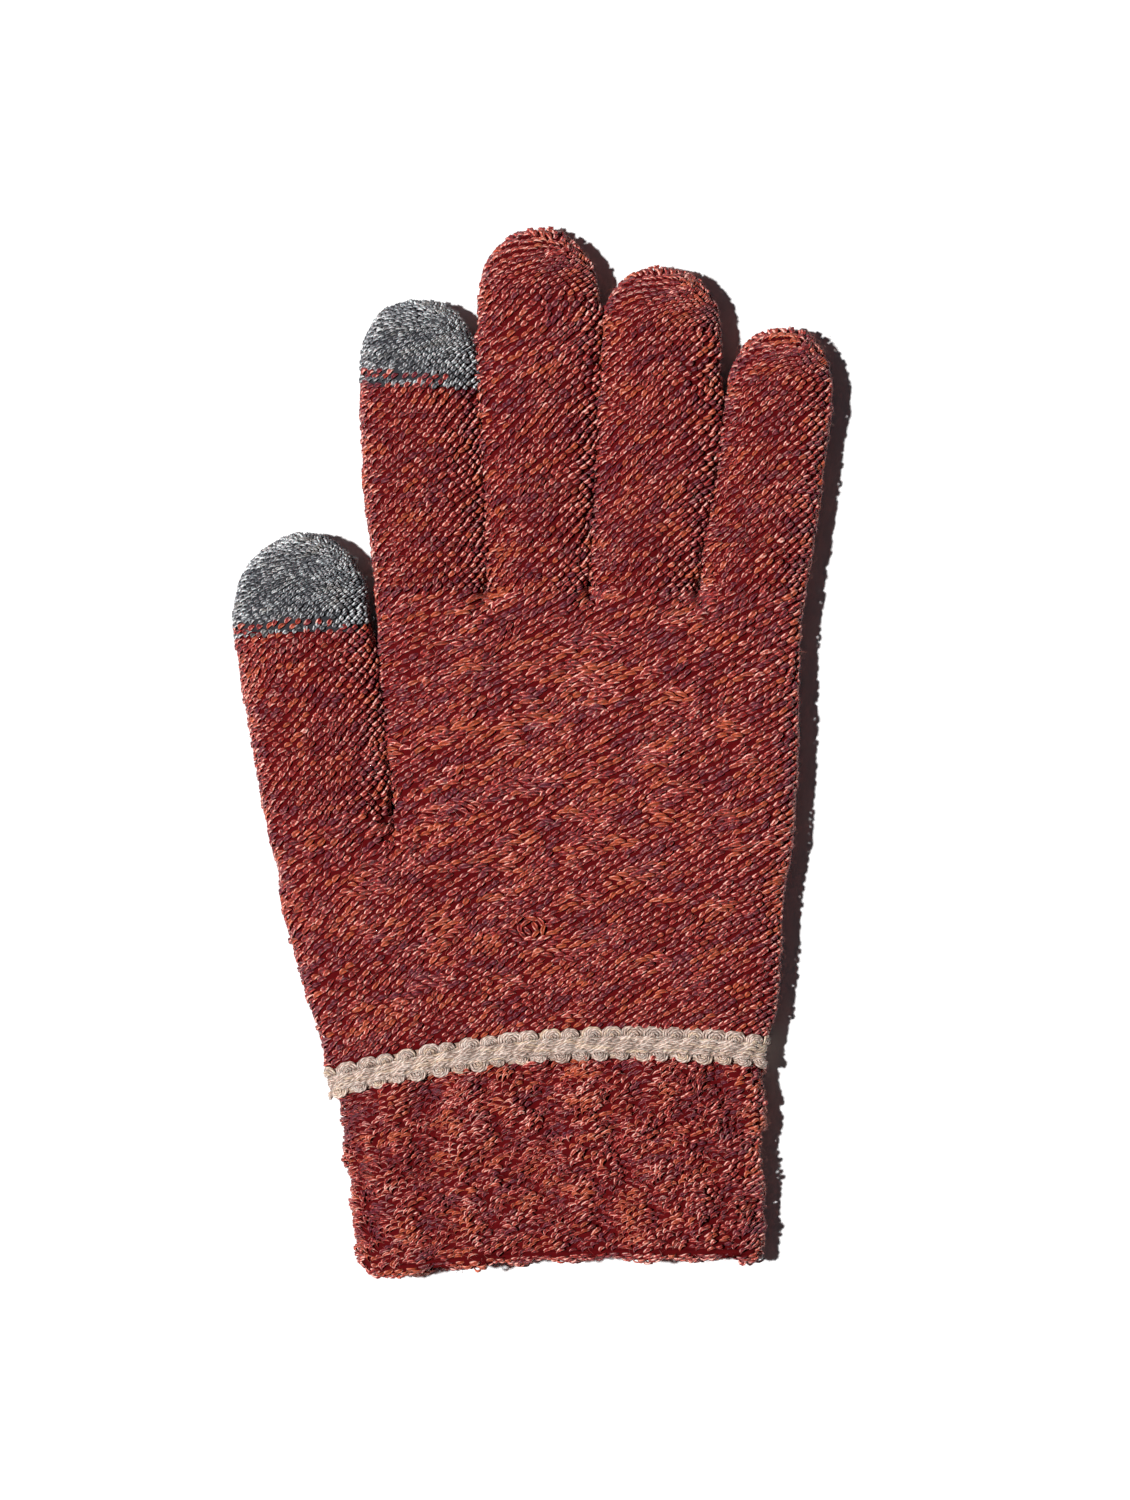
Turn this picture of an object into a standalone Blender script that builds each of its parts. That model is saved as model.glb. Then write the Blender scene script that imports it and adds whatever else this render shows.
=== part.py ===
"""Knitted glove with touch-screen thumb and index tips, lying flat with its palm up.

The glove is one knitted tube for the cuff and palm and one for each finger. Every tube is cut into
the sections that it is knitted in and that bend against each other, so each section is a shell of
its own. Lengths below are millimetres and angles degrees; the meshes are made in metres.
X runs across the hand, Y towards the fingertips and Z up, with the underside at Z = 0.
"""
import math

import bpy

MM = 0.001

# Driving dimensions
PLAN_CENTRE = (-0.48, 0.135)
PIECE_GAP = 0.3
ARCHED_GAP = 0.6
WALL = 2.1
PALM_THICKNESS = 14.0
CUFF_THICKNESS = 13.2
HINGE_BELOW_TOP = 1.5
FLATTENED_DEPTH = 1.5

FINGER_SIDES = 20
FINGER_FULLNESS = 2.5
BODY_SIDES = 36
BODY_FULLNESS = 3.4
DOME_LEVELS = (0.0, 0.45, 0.68, 0.84, 0.94)
DOME_SETTLE = 0.42

WRIST_HINGE_Y = -56.0
WRIST_BEND = 70.0
THUMB_OPENING_Y = -15.0
FINGER_LINE_Y = 30.0

STRIPE_CREST = (20.0, -63.7)
STRIPE_FALL = 0.0021
STRIPE_HEIGHT = 7.0
STRIPE_PROUD = 0.9

HEM_CREST = (25.0, -107.5)
HEM_FALL = 0.0012
HEM_RADIUS = 1.6

ELASTIC_RADIUS = 0.4
ELASTIC_CLEARANCE = 0.6
ELASTIC_TURNS = 6
ELASTIC_POINTS_PER_TURN = 20
ELASTIC_FROM_Y = -104.0
ELASTIC_TO_Y = -79.0

CLOSURE_RADIUS = 0.5
CLOSURE_POINTS = 9
CLOSURE_LEVELS = (0.45, 0.84)
CLOSURE_CLEARANCE = 0.5
CLOSURE_SIDE = 0.9
CLOSURE_DROP = 0.5

# Outlines of the hand: (y, left edge x, right edge x), from the hem up to the finger line
CUFF_OUTLINE = [(-118, -38.3, 49.9), (-105, -39.9, 50.3), (-91, -41.5, 50.1), (-78, -43.4, 50.9),
                (-68, -46.8, 51.6), (-56, -49.9, 53.4)]
LOWER_PALM_OUTLINE = [(-56, -49.9, 53.4), (-45, -52.7, 53.9), (-34, -55.6, 54.8), (-23, -57.6, 56.1),
                      (-15, -59.4, 56.7)]
UPPER_PALM_OUTLINE = [(-15, -30.7, 56.7), (2, -32.2, 58.0), (16, -33.3, 58.0), (30, -34.2, 58.4)]

# Each digit: its outline up to the start of the dome, the dome's tip, its thickness, its two bends
# as (y, largest angle), and the (y, slope) of the line where a touch-screen tip starts. The index
# bends less than the other fingers, so that it stays clear of the bent thumb.
DIGITS = {
    "thumb": {
        "outline": [(-15, -59.6, -31.2), (7, -63.0, -34.0), (20, -65.5, -35.7), (30, -66.8, -36.6)],
        "tip": (-50.9, 48.6), "thickness": 15.0,
        "bends": [(-3.0, 55.0), (15.5, 80.0)], "touch_line": (27.2, 0.11)},
    "index": {
        "outline": [(30, -34.2, -10.9), (45, -36.2, -11.2), (60, -38.2, -12.0), (86, -38.8, -13.4)],
        "tip": (-26.3, 99.9), "thickness": 14.0,
        "bends": [(45.0, 70.0), (63.0, 85.0)], "touch_line": (81.2, -0.08)},
    "middle": {
        "outline": [(30, -10.4, 11.3), (45, -10.6, 11.9), (64, -11.4, 12.9), (84, -12.6, 14.0),
                    (100, -13.0, 14.1)],
        "tip": (0.8, 115.7), "thickness": 14.0,
        "bends": [(45.0, 90.0), (66.0, 100.0)], "touch_line": None},
    "ring": {
        "outline": [(30, 11.8, 34.9), (45, 12.4, 36.1), (64, 13.5, 39.7), (73, 13.9, 41.1),
                    (92, 15.0, 41.3)],
        "tip": (27.6, 107.4), "thickness": 14.0,
        "bends": [(45.0, 90.0), (65.0, 100.0)], "touch_line": None},
    "little": {
        "outline": [(30, 35.5, 58.4), (36, 35.7, 59.4), (45, 37.0, 61.2), (67, 41.0, 63.9),
                    (80, 42.9, 65.8)],
        "tip": (54.9, 93.7), "thickness": 13.2,
        "bends": [(44.0, 90.0), (59.0, 100.0)], "touch_line": None},
}


def clear_objects():
    """Remove whatever objects are in the file."""
    for thing in list(bpy.data.objects):
        bpy.data.objects.remove(thing, do_unlink=True)


def make_material(name, colour, roughness):
    """Return a Principled material of one colour."""
    material = bpy.data.materials.new(name)
    material.use_nodes = True
    shader = material.node_tree.nodes["Principled BSDF"]
    shader.inputs["Base Color"].default_value = (*colour, 1.0)
    shader.inputs["Roughness"].default_value = roughness
    shader.inputs["Metallic"].default_value = 0.0
    return material


def place(x, y, z):
    """Point of the model, in metres from the plan centre."""
    return (x - PLAN_CENTRE[0]) * MM, (y - PLAN_CENTRE[1]) * MM, z * MM


def edges_at(outline, y):
    """Left and right edge of an outline at y, straight between its stations."""
    for (y0, left0, right0), (y1, left1, right1) in zip(outline, outline[1:]):
        if y <= y1:
            break
    part = (y - y0) / (y1 - y0)
    return left0 + part * (left1 - left0), right0 + part * (right1 - right0)


def squared(value, fullness):
    """Signed power that squares off an ellipse as fullness rises above 2."""
    return math.copysign(abs(value) ** (2.0 / fullness), value)


def section(edges, bottom, thickness, sides, fullness):
    """(x, z) points of a rounded section whose underside is pressed flat."""
    centre = (edges[0] + edges[1]) / 2
    half_width = (edges[1] - edges[0]) / 2
    half_height = thickness / 2
    points = []
    for side in range(sides):
        turn = 2 * math.pi * (side + 0.5) / sides
        rise = squared(math.sin(turn), fullness)
        depth = half_height if rise > 0 else half_height + FLATTENED_DEPTH
        z = bottom + half_height + max(depth * rise, -half_height)
        points.append((centre + half_width * squared(math.cos(turn), fullness), z))
    return points


# A line gives the y of a ring at each (x, z), so that a tube can end square, sloped or arched.

def square_line(y):
    """Ring square across the tube."""
    return lambda x, z: y


def sloped_line(y, slope, centre):
    """Ring that slants across the tube."""
    return lambda x, z: y + slope * (x - centre)


def arched_line(crest, fall, offset):
    """Ring along a knitted course that is pulled into an arch across the hand."""
    return lambda x, z: crest[1] + offset - fall * (x - crest[0]) ** 2


def hinge_line(y, side, thickness, angle):
    """Ring at a hinge, square below the axis and leaning back above it to leave room to bend."""
    axis_z = thickness - HINGE_BELOW_TOP
    slope = math.tan(math.radians(angle / 2))
    return lambda x, z: y + side * (PIECE_GAP / 2 + max(0.0, z - axis_z) * slope)


def make_ring(points, line):
    """Vertices of one ring."""
    return [place(x, line(x, z), z) for x, z in points]


def add_object(name, data, material, collection, origin=(0.0, 0.0, 0.0)):
    """Link a mesh or a curve as an object at its origin."""
    thing = bpy.data.objects.new(name, data)
    thing.location = origin
    data.materials.append(material)
    collection.objects.link(thing)
    return thing


def make_shell(name, rings, pole, material, collection, origin):
    """Shell lofted through rings, closed at a pole if there is one, and thickened inwards."""
    sides = len(rings[0])
    vertices = [vertex for ring in rings for vertex in ring]
    faces = []
    for row in range(len(rings) - 1):
        for side in range(sides):
            near, far = row * sides, (row + 1) * sides
            following = (side + 1) % sides
            faces.append((near + following, near + side, far + side, far + following))
    if pole is not None:
        last = (len(rings) - 1) * sides
        vertices.append(pole)
        faces += [(last + (side + 1) % sides, last + side, len(vertices) - 1)
                  for side in range(sides)]
    local = [tuple(value - start for value, start in zip(vertex, origin)) for vertex in vertices]
    mesh = bpy.data.meshes.new(name)
    mesh.from_pydata(local, [], faces)
    mesh.shade_smooth()
    thing = add_object(name, mesh, material, collection, origin)
    wall = thing.modifiers.new("wall", "SOLIDIFY")
    wall.thickness = WALL * MM
    wall.offset = -1.0
    return thing


def make_thread(name, points, radius, closed, material, collection, origin=(0.0, 0.0, 0.0)):
    """Round thread along points, with filled ends unless it closes on itself."""
    curve = bpy.data.curves.new(name, "CURVE")
    curve.dimensions = "3D"
    curve.bevel_depth = radius * MM
    curve.bevel_resolution = 1
    curve.use_fill_caps = not closed
    spline = curve.splines.new("POLY")
    spline.points.add(len(points) - 1)
    spline.use_cyclic_u = closed
    for target, point in zip(spline.points, points):
        target.co = (*(value - start for value, start in zip(point, origin)), 1.0)
    return add_object(name, curve, material, collection, origin)


def make_body_shell(name, outline, levels, thickness, material, collection, proud=0.0, origin=None):
    """Section of the cuff or palm; levels are (y for the width, line) pairs."""
    rings = []
    for y, line in levels:
        left, right = edges_at(outline, y)
        points = section((left - proud, right + proud), 0.0, thickness + proud, BODY_SIDES,
                         BODY_FULLNESS)
        rings.append(make_ring(points, line))
    return make_shell(name, rings, None, material, collection, origin or place(0, levels[0][0], 0))


def make_cuff(materials, collection):
    """Cuff wall from the hem to the stripe."""
    hem = arched_line(HEM_CREST, HEM_FALL, ARCHED_GAP)
    stripe = arched_line(STRIPE_CREST, STRIPE_FALL, -STRIPE_HEIGHT / 2 - ARCHED_GAP)
    levels = [(-112, hem), (-102, square_line(-102)), (-91, square_line(-91)),
              (-82, square_line(-82)), (-70, stripe)]
    make_body_shell("cuff", CUFF_OUTLINE, levels, CUFF_THICKNESS, materials["red"], collection)


def make_stripe(materials, collection):
    """Thicker band of contrast yarn above the cuff."""
    levels = [(y, arched_line(STRIPE_CREST, STRIPE_FALL, offset * STRIPE_HEIGHT))
              for y, offset in ((-71, -0.5), (-68, 0.0), (-64, 0.5))]
    make_body_shell("contrast_stripe", CUFF_OUTLINE, levels, CUFF_THICKNESS, materials["cream"],
                    collection, STRIPE_PROUD)


def make_wrist(materials, collection):
    """Red courses between the stripe and the line where the hand bends on the cuff."""
    stripe = arched_line(STRIPE_CREST, STRIPE_FALL, STRIPE_HEIGHT / 2 + ARCHED_GAP)
    hinge = hinge_line(WRIST_HINGE_Y, -1, PALM_THICKNESS, WRIST_BEND)
    levels = [(-63, stripe), (-56, hinge)]
    make_body_shell("wrist_section", CUFF_OUTLINE, levels, PALM_THICKNESS, materials["red"],
                    collection)


def make_lower_palm(materials, collection):
    """Five-finger part of the hand, from the wrist to the thumb opening."""
    hinge = hinge_line(WRIST_HINGE_Y, 1, PALM_THICKNESS, WRIST_BEND)
    top = THUMB_OPENING_Y - PIECE_GAP / 2
    levels = [(-56, hinge), (-45, square_line(-45)), (-34, square_line(-34)),
              (-23, square_line(-23)), (top, square_line(top))]
    axis = place(0, WRIST_HINGE_Y, PALM_THICKNESS - HINGE_BELOW_TOP)
    make_body_shell("five_finger_palm", LOWER_PALM_OUTLINE, levels, PALM_THICKNESS,
                    materials["red"], collection, origin=axis)


def make_upper_palm(materials, collection):
    """Four-finger part of the hand, from the thumb opening to the finger line."""
    ends = (THUMB_OPENING_Y + PIECE_GAP / 2, FINGER_LINE_Y - PIECE_GAP / 2)
    levels = [(y, square_line(y)) for y in (ends[0], 2, 16, ends[1])]
    make_body_shell("four_finger_palm", UPPER_PALM_OUTLINE, levels, PALM_THICKNESS,
                    materials["red"], collection)


def make_hem(materials, collection):
    """Overlocked edge that closes the mouth of the cuff."""
    left, right = edges_at(CUFF_OUTLINE, HEM_CREST[1])
    inset = (left + HEM_RADIUS, right - HEM_RADIUS)
    points = section(inset, HEM_RADIUS, CUFF_THICKNESS - 2 * HEM_RADIUS, BODY_SIDES, BODY_FULLNESS)
    line = arched_line(HEM_CREST, HEM_FALL, -HEM_RADIUS)
    make_thread("hem_edging", make_ring(points, line), HEM_RADIUS, True, materials["hem"],
                collection)


def make_elastic(materials, collection):
    """Elastic thread that runs round inside the cuff as one long spiral."""
    inset = WALL + ELASTIC_CLEARANCE + ELASTIC_RADIUS
    points = []
    for step in range(ELASTIC_TURNS * ELASTIC_POINTS_PER_TURN + 1):
        climb = step / (ELASTIC_TURNS * ELASTIC_POINTS_PER_TURN)
        y = ELASTIC_FROM_Y + climb * (ELASTIC_TO_Y - ELASTIC_FROM_Y)
        left, right = edges_at(CUFF_OUTLINE, y)
        loop = section((left + inset, right - inset), inset, CUFF_THICKNESS - 2 * inset,
                       ELASTIC_POINTS_PER_TURN, BODY_FULLNESS)
        x, z = loop[step % ELASTIC_POINTS_PER_TURN]
        points.append(place(x, y, z))
    make_thread("cuff_elastic", points, ELASTIC_RADIUS, False, materials["elastic"], collection)


def dome_section(digit, level):
    """Section of a fingertip's dome, level 0 at its start and 1 at its tip, and its y."""
    y0 = digit["outline"][-1][0]
    left, right = digit["outline"][-1][1:]
    tip_x, tip_y = digit["tip"]
    shrink = math.sqrt(1 - level ** 2)
    centre = (left + right) / 2
    centre += level ** 2 * (tip_x - centre)
    half_width = shrink * (right - left) / 2
    thickness = shrink * digit["thickness"]
    bottom = DOME_SETTLE * (digit["thickness"] - thickness)
    points = section((centre - half_width, centre + half_width), bottom, thickness, FINGER_SIDES,
                     FINGER_FULLNESS)
    return points, y0 + level * (tip_y - y0)


def make_digit_section(name, digit, levels, closed, material, collection, origin):
    """One section of a digit through (y, line) levels, with its dome if it is closed."""
    rings = []
    for y, line in levels:
        points = section(edges_at(digit["outline"], y), 0.0, digit["thickness"], FINGER_SIDES,
                         FINGER_FULLNESS)
        rings.append(make_ring(points, line))
    pole = None
    if closed:
        for level in DOME_LEVELS:
            points, y = dome_section(digit, level)
            rings.append(make_ring(points, square_line(y)))
        tip_x, tip_y = digit["tip"]
        pole = place(tip_x, tip_y, DOME_SETTLE * digit["thickness"])
    make_shell(name, rings, pole, material, collection, origin)


def make_closure(name, digit, material, collection, origin):
    """Drawn-in yarn end that gathers the last stitches at the upper right of a fingertip."""
    points = []
    clear = CLOSURE_RADIUS + CLOSURE_CLEARANCE
    for step in range(CLOSURE_POINTS):
        climb = step / (CLOSURE_POINTS - 1)
        level = CLOSURE_LEVELS[0] + climb * (CLOSURE_LEVELS[1] - CLOSURE_LEVELS[0])
        rim, y = dome_section(digit, level)
        left, right, top = min(rim)[0], max(rim)[0], max(z for x, z in rim)
        across = CLOSURE_SIDE - level
        x = (left + right + across * (right - left)) / 2
        z = top + math.sqrt(1 - level ** 2) * clear - CLOSURE_DROP * across
        points.append(place(x, y + level * clear, z))
    make_thread(name, points, CLOSURE_RADIUS, False, material, collection, origin)


def make_digit(name, digit, materials, collection):
    """Root, lower and upper section of a digit, its touch-screen tip and its closure."""
    (base_y, base_angle), (middle_y, middle_angle) = digit["bends"]
    thickness = digit["thickness"]
    axis_z = thickness - HINGE_BELOW_TOP
    root_y = digit["outline"][0][0] + PIECE_GAP / 2
    base_axis, middle_axis = [place(sum(edges_at(digit["outline"], y)) / 2, y, axis_z)
                              for y in (base_y, middle_y)]

    root = [(root_y, square_line(root_y)),
            (base_y, hinge_line(base_y, -1, thickness, base_angle))]
    make_digit_section(name + "_root", digit, root, False, materials["red"], collection,
                       place(0, root_y, 0))

    lower = [(base_y, hinge_line(base_y, 1, thickness, base_angle)),
             (middle_y, hinge_line(middle_y, -1, thickness, middle_angle))]
    make_digit_section(name + "_lower", digit, lower, False, materials["red"], collection,
                       base_axis)

    upper = [(middle_y, hinge_line(middle_y, 1, thickness, middle_angle))]
    if digit["touch_line"]:
        line_y, slope = digit["touch_line"]
        centre = sum(edges_at(digit["outline"], line_y)) / 2
        upper.append((line_y, sloped_line(line_y - PIECE_GAP / 2, slope, centre)))
        tip = [(line_y, sloped_line(line_y + PIECE_GAP / 2, slope, centre))]
        make_digit_section(name + "_upper", digit, upper, False, materials["red"], collection,
                           middle_axis)
        make_digit_section(name + "_touch_tip", digit, tip, True, materials["grey"], collection,
                           middle_axis)
    else:
        make_digit_section(name + "_upper", digit, upper, True, materials["red"], collection,
                           middle_axis)
    closure = materials["grey"] if digit["touch_line"] else materials["red"]
    make_closure(name + "_closure", digit, closure, collection, middle_axis)


def main():
    clear_objects()
    collection = bpy.data.collections.new("knitted_glove")
    bpy.context.scene.collection.children.link(collection)
    materials = {
        "red": make_material("brick_red_yarn", (0.235, 0.042, 0.035), 0.9),
        "grey": make_material("grey_conductive_yarn", (0.150, 0.148, 0.158), 0.9),
        "cream": make_material("cream_yarn", (0.47, 0.33, 0.27), 0.9),
        "hem": make_material("dark_red_overlock", (0.15, 0.030, 0.035), 0.9),
        "elastic": make_material("covered_elastic", (0.30, 0.12, 0.10), 0.7),
    }
    make_cuff(materials, collection)
    make_hem(materials, collection)
    make_elastic(materials, collection)
    make_stripe(materials, collection)
    make_wrist(materials, collection)
    make_lower_palm(materials, collection)
    make_upper_palm(materials, collection)
    for name, digit in DIGITS.items():
        make_digit(name, digit, materials, collection)


main()
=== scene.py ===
"""Looks of the knitted glove: plump yarn legs laid stitch by stitch on soft tubes around the CAD shells.

Lengths are millimetres in the frame's own coordinates until a mesh is made. A tube is a grid of
points, one row for every half course, and each yarn leg lies on one place of that grid.
"""
import math

import bpy
import numpy as np
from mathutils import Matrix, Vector


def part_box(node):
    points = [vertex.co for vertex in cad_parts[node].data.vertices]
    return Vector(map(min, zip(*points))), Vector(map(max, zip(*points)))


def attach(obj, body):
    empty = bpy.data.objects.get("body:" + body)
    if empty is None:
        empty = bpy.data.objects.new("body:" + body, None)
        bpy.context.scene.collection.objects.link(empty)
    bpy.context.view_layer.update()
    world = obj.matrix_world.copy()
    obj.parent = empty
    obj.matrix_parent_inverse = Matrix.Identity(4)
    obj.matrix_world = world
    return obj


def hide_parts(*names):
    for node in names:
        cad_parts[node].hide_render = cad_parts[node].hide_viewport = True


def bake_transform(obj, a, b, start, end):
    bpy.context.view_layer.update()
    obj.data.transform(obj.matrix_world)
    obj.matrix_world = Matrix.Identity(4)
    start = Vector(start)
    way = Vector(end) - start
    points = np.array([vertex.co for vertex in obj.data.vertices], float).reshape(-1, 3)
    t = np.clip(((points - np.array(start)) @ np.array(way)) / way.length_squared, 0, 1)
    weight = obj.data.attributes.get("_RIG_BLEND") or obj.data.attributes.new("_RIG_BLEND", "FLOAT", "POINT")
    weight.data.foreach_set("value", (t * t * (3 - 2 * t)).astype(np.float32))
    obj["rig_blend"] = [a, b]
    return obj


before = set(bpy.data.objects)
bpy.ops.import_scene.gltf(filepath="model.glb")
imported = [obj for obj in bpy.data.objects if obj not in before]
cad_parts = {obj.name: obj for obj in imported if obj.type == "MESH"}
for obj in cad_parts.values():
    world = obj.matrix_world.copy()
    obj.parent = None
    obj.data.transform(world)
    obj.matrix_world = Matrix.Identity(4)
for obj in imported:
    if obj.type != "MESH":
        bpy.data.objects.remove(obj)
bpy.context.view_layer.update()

MM = 0.001

# Stitches: width of a wale, height of half a course, and how many times as many legs are laid
WALE = 2.54
HALF_COURSE = 1.0
PALM_WALE, PALM_HALF_COURSE = 3.0, 0.93
DIGIT_WALE, DIGIT_HALF_COURSE = 2.16, 1.08
CUFF_WALE, CUFF_HALF_COURSE = 3.2, 0.78
GREY_PACK = 1.35
CUFF_PACK = 1.15

# The yarn leg on each place, in mm and degrees. Taper, dive and the plies' radius, gap and flatness
# are shares of the leg's own sizes; the plies' turn is in radians and their twist in whole turns
LEG_ANGLE = 31.0
DIGIT_TURN = 4.0
LEG_HALF_LENGTH = 1.10
LEG_RADIUS = 0.51
LEG_RISE = 0.55
LEG_TAPER, LEG_DIVE = 0.44, 0.80
PLY_RADIUS = 0.56
PLY_GAP = 0.50
PLY_TURN, PLY_TWIST = 0.9, 0.3
PLY_FLATNESS = 0.8

# How places leave the even lattice: a smooth drift everywhere and a finer pull where fabric crinkles.
# Extra legs fill in above THIN_STRETCH, no leg is drawn out beyond LONGEST_STRETCH, and LEVELLING is
# the share of a course's slope that its legs don't follow
DRIFT_WAVE, ROW_DRIFT, WALE_DRIFT = 20.0, 0.20, 0.30
PULL_WAVE = 7.0
WALE_STRAY = 0.7
THIN_STRETCH, LONGEST_STRETCH = 1.3, 1.6
LEVELLING = 0.8

# Normals lower than these belong to the underside, which gets simpler legs and no fuzz
UNDERSIDE, FUZZ_FREE = -0.3, -0.4

# Depth of the stitches under the CAD's surface and of the skin under the stitches, the skin's
# thickness, the lowest height of any yarn, and the fine fibres
BASE_DEPTH = 0.55
SKIN_DEPTH = 0.16
SKIN_WALL = 0.8
RESTING_HEIGHT = 0.02
FUZZ_LENGTH, FUZZ_RADIUS, FUZZ_POINTS = 2.6, 0.030, 6

# Sections of the tubes: how full they are (2 is round), how flat underneath, the creases between
# digits that lie closer than CREASE_REACH, and the points around each ring
FINGER_FULLNESS = 2.4
PALM_FULLNESS = 3.4
FLATTENED_DEPTH = 1.5
CREASE_REACH, CREASE_FADE, CREASE_START = 3.2, 1.5, (1.0, 5.0)
CREASE_OVERLAP = 1.1
RING_SAMPLES = 360
SKIN_SAMPLES, DIGIT_SKIN_SAMPLES = 120, 72

# Fingertips, which gather at a pole at their upper right: the pole's tilt in degrees and direction,
# how far the tip settles down (a share of its thickness), and the rows left open at the pole
DOME_TILT = 40.0
DOME_SETTLE = 0.42
DOME_OPENING = 0.2
POLE_LEAN = (0.78, 0.62)

# Hem and stripe follow shallow arches: crest, and fall per square of the distance from it.
# The hem turns through HEM_TURNS degrees around its edge; the stripe is strands in waves and loops
HEM_CREST = (25.5, -107.6)
HEM_FALL = 0.0012
HEM_RADIUS, HEM_DROP = 1.6, 0.8
HEM_TURNS = (195, 160, 130, 100, 70, 40, 12)
LEFT_CORNER = {"x": -31.0, "rise": 5.5, "width": 9.0}
RIGHT_CORNER = {"x": 45.5, "rise": 2.5, "width": 6.0}
STRIPE_CREST = (20.5, -63.8)
STRIPE_FALL = 0.0021
STRIPE_HEIGHT = 7.4
STRIPE_INSET = 1.2
LEDGE_SHARE, LEDGE_INSET = 0.04, 5.5
STRIPE_LOOP = 4.4
STRAND_POINTS, STRAND_SIDES, STRAND_TWIST = 12, 6, 0.35
BUNDLE_LEVELS, BUNDLE_RADIUS = (-2.5, 2.4, 0.46), 0.34
LOOP_SIZES_ABOVE, LOOP_SIZES_BELOW = (0.35, 0.95, 1.55, 2.05), (0.35, 0.95, 1.5)
LOOP_RADIUS = 0.36
CUFF_UNDERLAP, PALM_UNDERLAP = 0.8, 0.4

# y along the hand: lines between the knitted parts, and where tubes start to split or draw in
CUFF_SPAN = (-108.0, -67.5)
WRIST_START = -63.5
WRIST_BLEND = (-60.5, -46.0)
THUMB_RISE, THUMB_LINE = -24.0, -13.0
FINGER_RISE, FINGER_LINE = 29.5, 36.0
WRIST_TUCK, WRIST_TUCK_SPAN = 1.9, (-48.0, -66.0)
WAIST_TUCK, WAIST_TUCK_SPAN, CUFF_TUCK_SPAN = 1.3, (-56.5, -61.5), (-104.0, -76.0)

# Stray fibres on each piece, or on each row of the cuff
FIBRES = {"cuff_row": 25, "stripe": 240, "lower_palm": 500, "upper_palm": 450,
          "lower_digit": 170, "upper_digit": 260, "below_tip": 130, "tip": 90}

# Each digit: start of its dome, the dome's tip, its two blends and the line where its grey tip starts
DIGITS = {
    "thumb": {"dome": 29.9, "tip": (-50.4, 48.5), "base": (-12.5, 6.0), "middle": (7.0, 24.0),
              "touch": (27.2, 0.11), "start": THUMB_LINE},
    "index": {"dome": 85.9, "tip": (-25.8, 99.8), "base": (36.5, 53.5), "middle": (54.5, 71.5),
              "touch": (81.2, -0.08), "start": FINGER_LINE},
    "middle": {"dome": 99.9, "tip": (1.3, 115.6), "base": (36.5, 53.5), "middle": (57.5, 74.5),
               "touch": None, "start": FINGER_LINE},
    "ring": {"dome": 91.9, "tip": (28.1, 107.3), "base": (36.5, 53.5), "middle": (56.5, 73.5),
             "touch": None, "start": FINGER_LINE},
    "little": {"dome": 79.9, "tip": (55.4, 93.6), "base": (36.5, 51.0), "middle": (51.5, 66.5),
               "touch": None, "start": FINGER_LINE},
}
# Touch-screen tip: the slanted line's offset, the one red row above it, and the mixed rows there
TIP_BELOW = 0.4
RED_ROW, RED_ROW_END = (0.6, 2.3), 6.0
ROWS_ABOVE, ROWS_BELOW = 8, 6

# Gathered yarn of a closure: strands, share of the way around, the sweep of each, and its rows
CLOSURE_STRANDS, CLOSURE_POINTS, CLOSURE_RADIUS = 3, 9, 0.38
CLOSURE_PLACE, CLOSURE_SPACING, CLOSURE_SWEEP = 0.985, 0.012, 0.05
CLOSURE_START, CLOSURE_ROWS = 0.5, 7.5

# Patches of the palm where the yarn lies in long, nearly level floats: where they are most common,
# and the centre and reach of the clearest ones
PATCH_MIDDLE, PATCH_REACH = (6.0, -14.0), (52.0, 46.0)
PATCHES = (((12.5, 17.0), (12.0, 5.0)), ((-7.0, 2.7), (7.0, 6.0)), ((30.0, 0.7), (9.0, 4.0)),
           ((15.0, -12.5), (5.0, 4.5)), ((7.5, -41.0), (12.0, 5.0)), ((-32.5, -39.0), (6.5, 3.5)))
SWIRL = {"middle": (-0.7, -38.4), "radius": 5.0}

# Floor, light and camera, in metres and degrees; the camera sees VIEW_LENGTH at height VIEW_LEVEL
FLOOR_HALF_SIDE, FLOOR_GAP = 3.0, 0.0004
PAPER_WHITE = (0.93, 0.93, 0.93, 1.0)
SUN_STRENGTH, SUN_WIDTH = 4.75, 3.0
SUN_AZIMUTH, SUN_ELEVATION = 177.0, 64.0
FILL_STRENGTH = 0.028
CAMERA_PLACE = (0.00698, 0.00077, 2.6)
VIEW_LEVEL, VIEW_LENGTH = 0.007, 0.330


# ---- reading the frame

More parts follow.
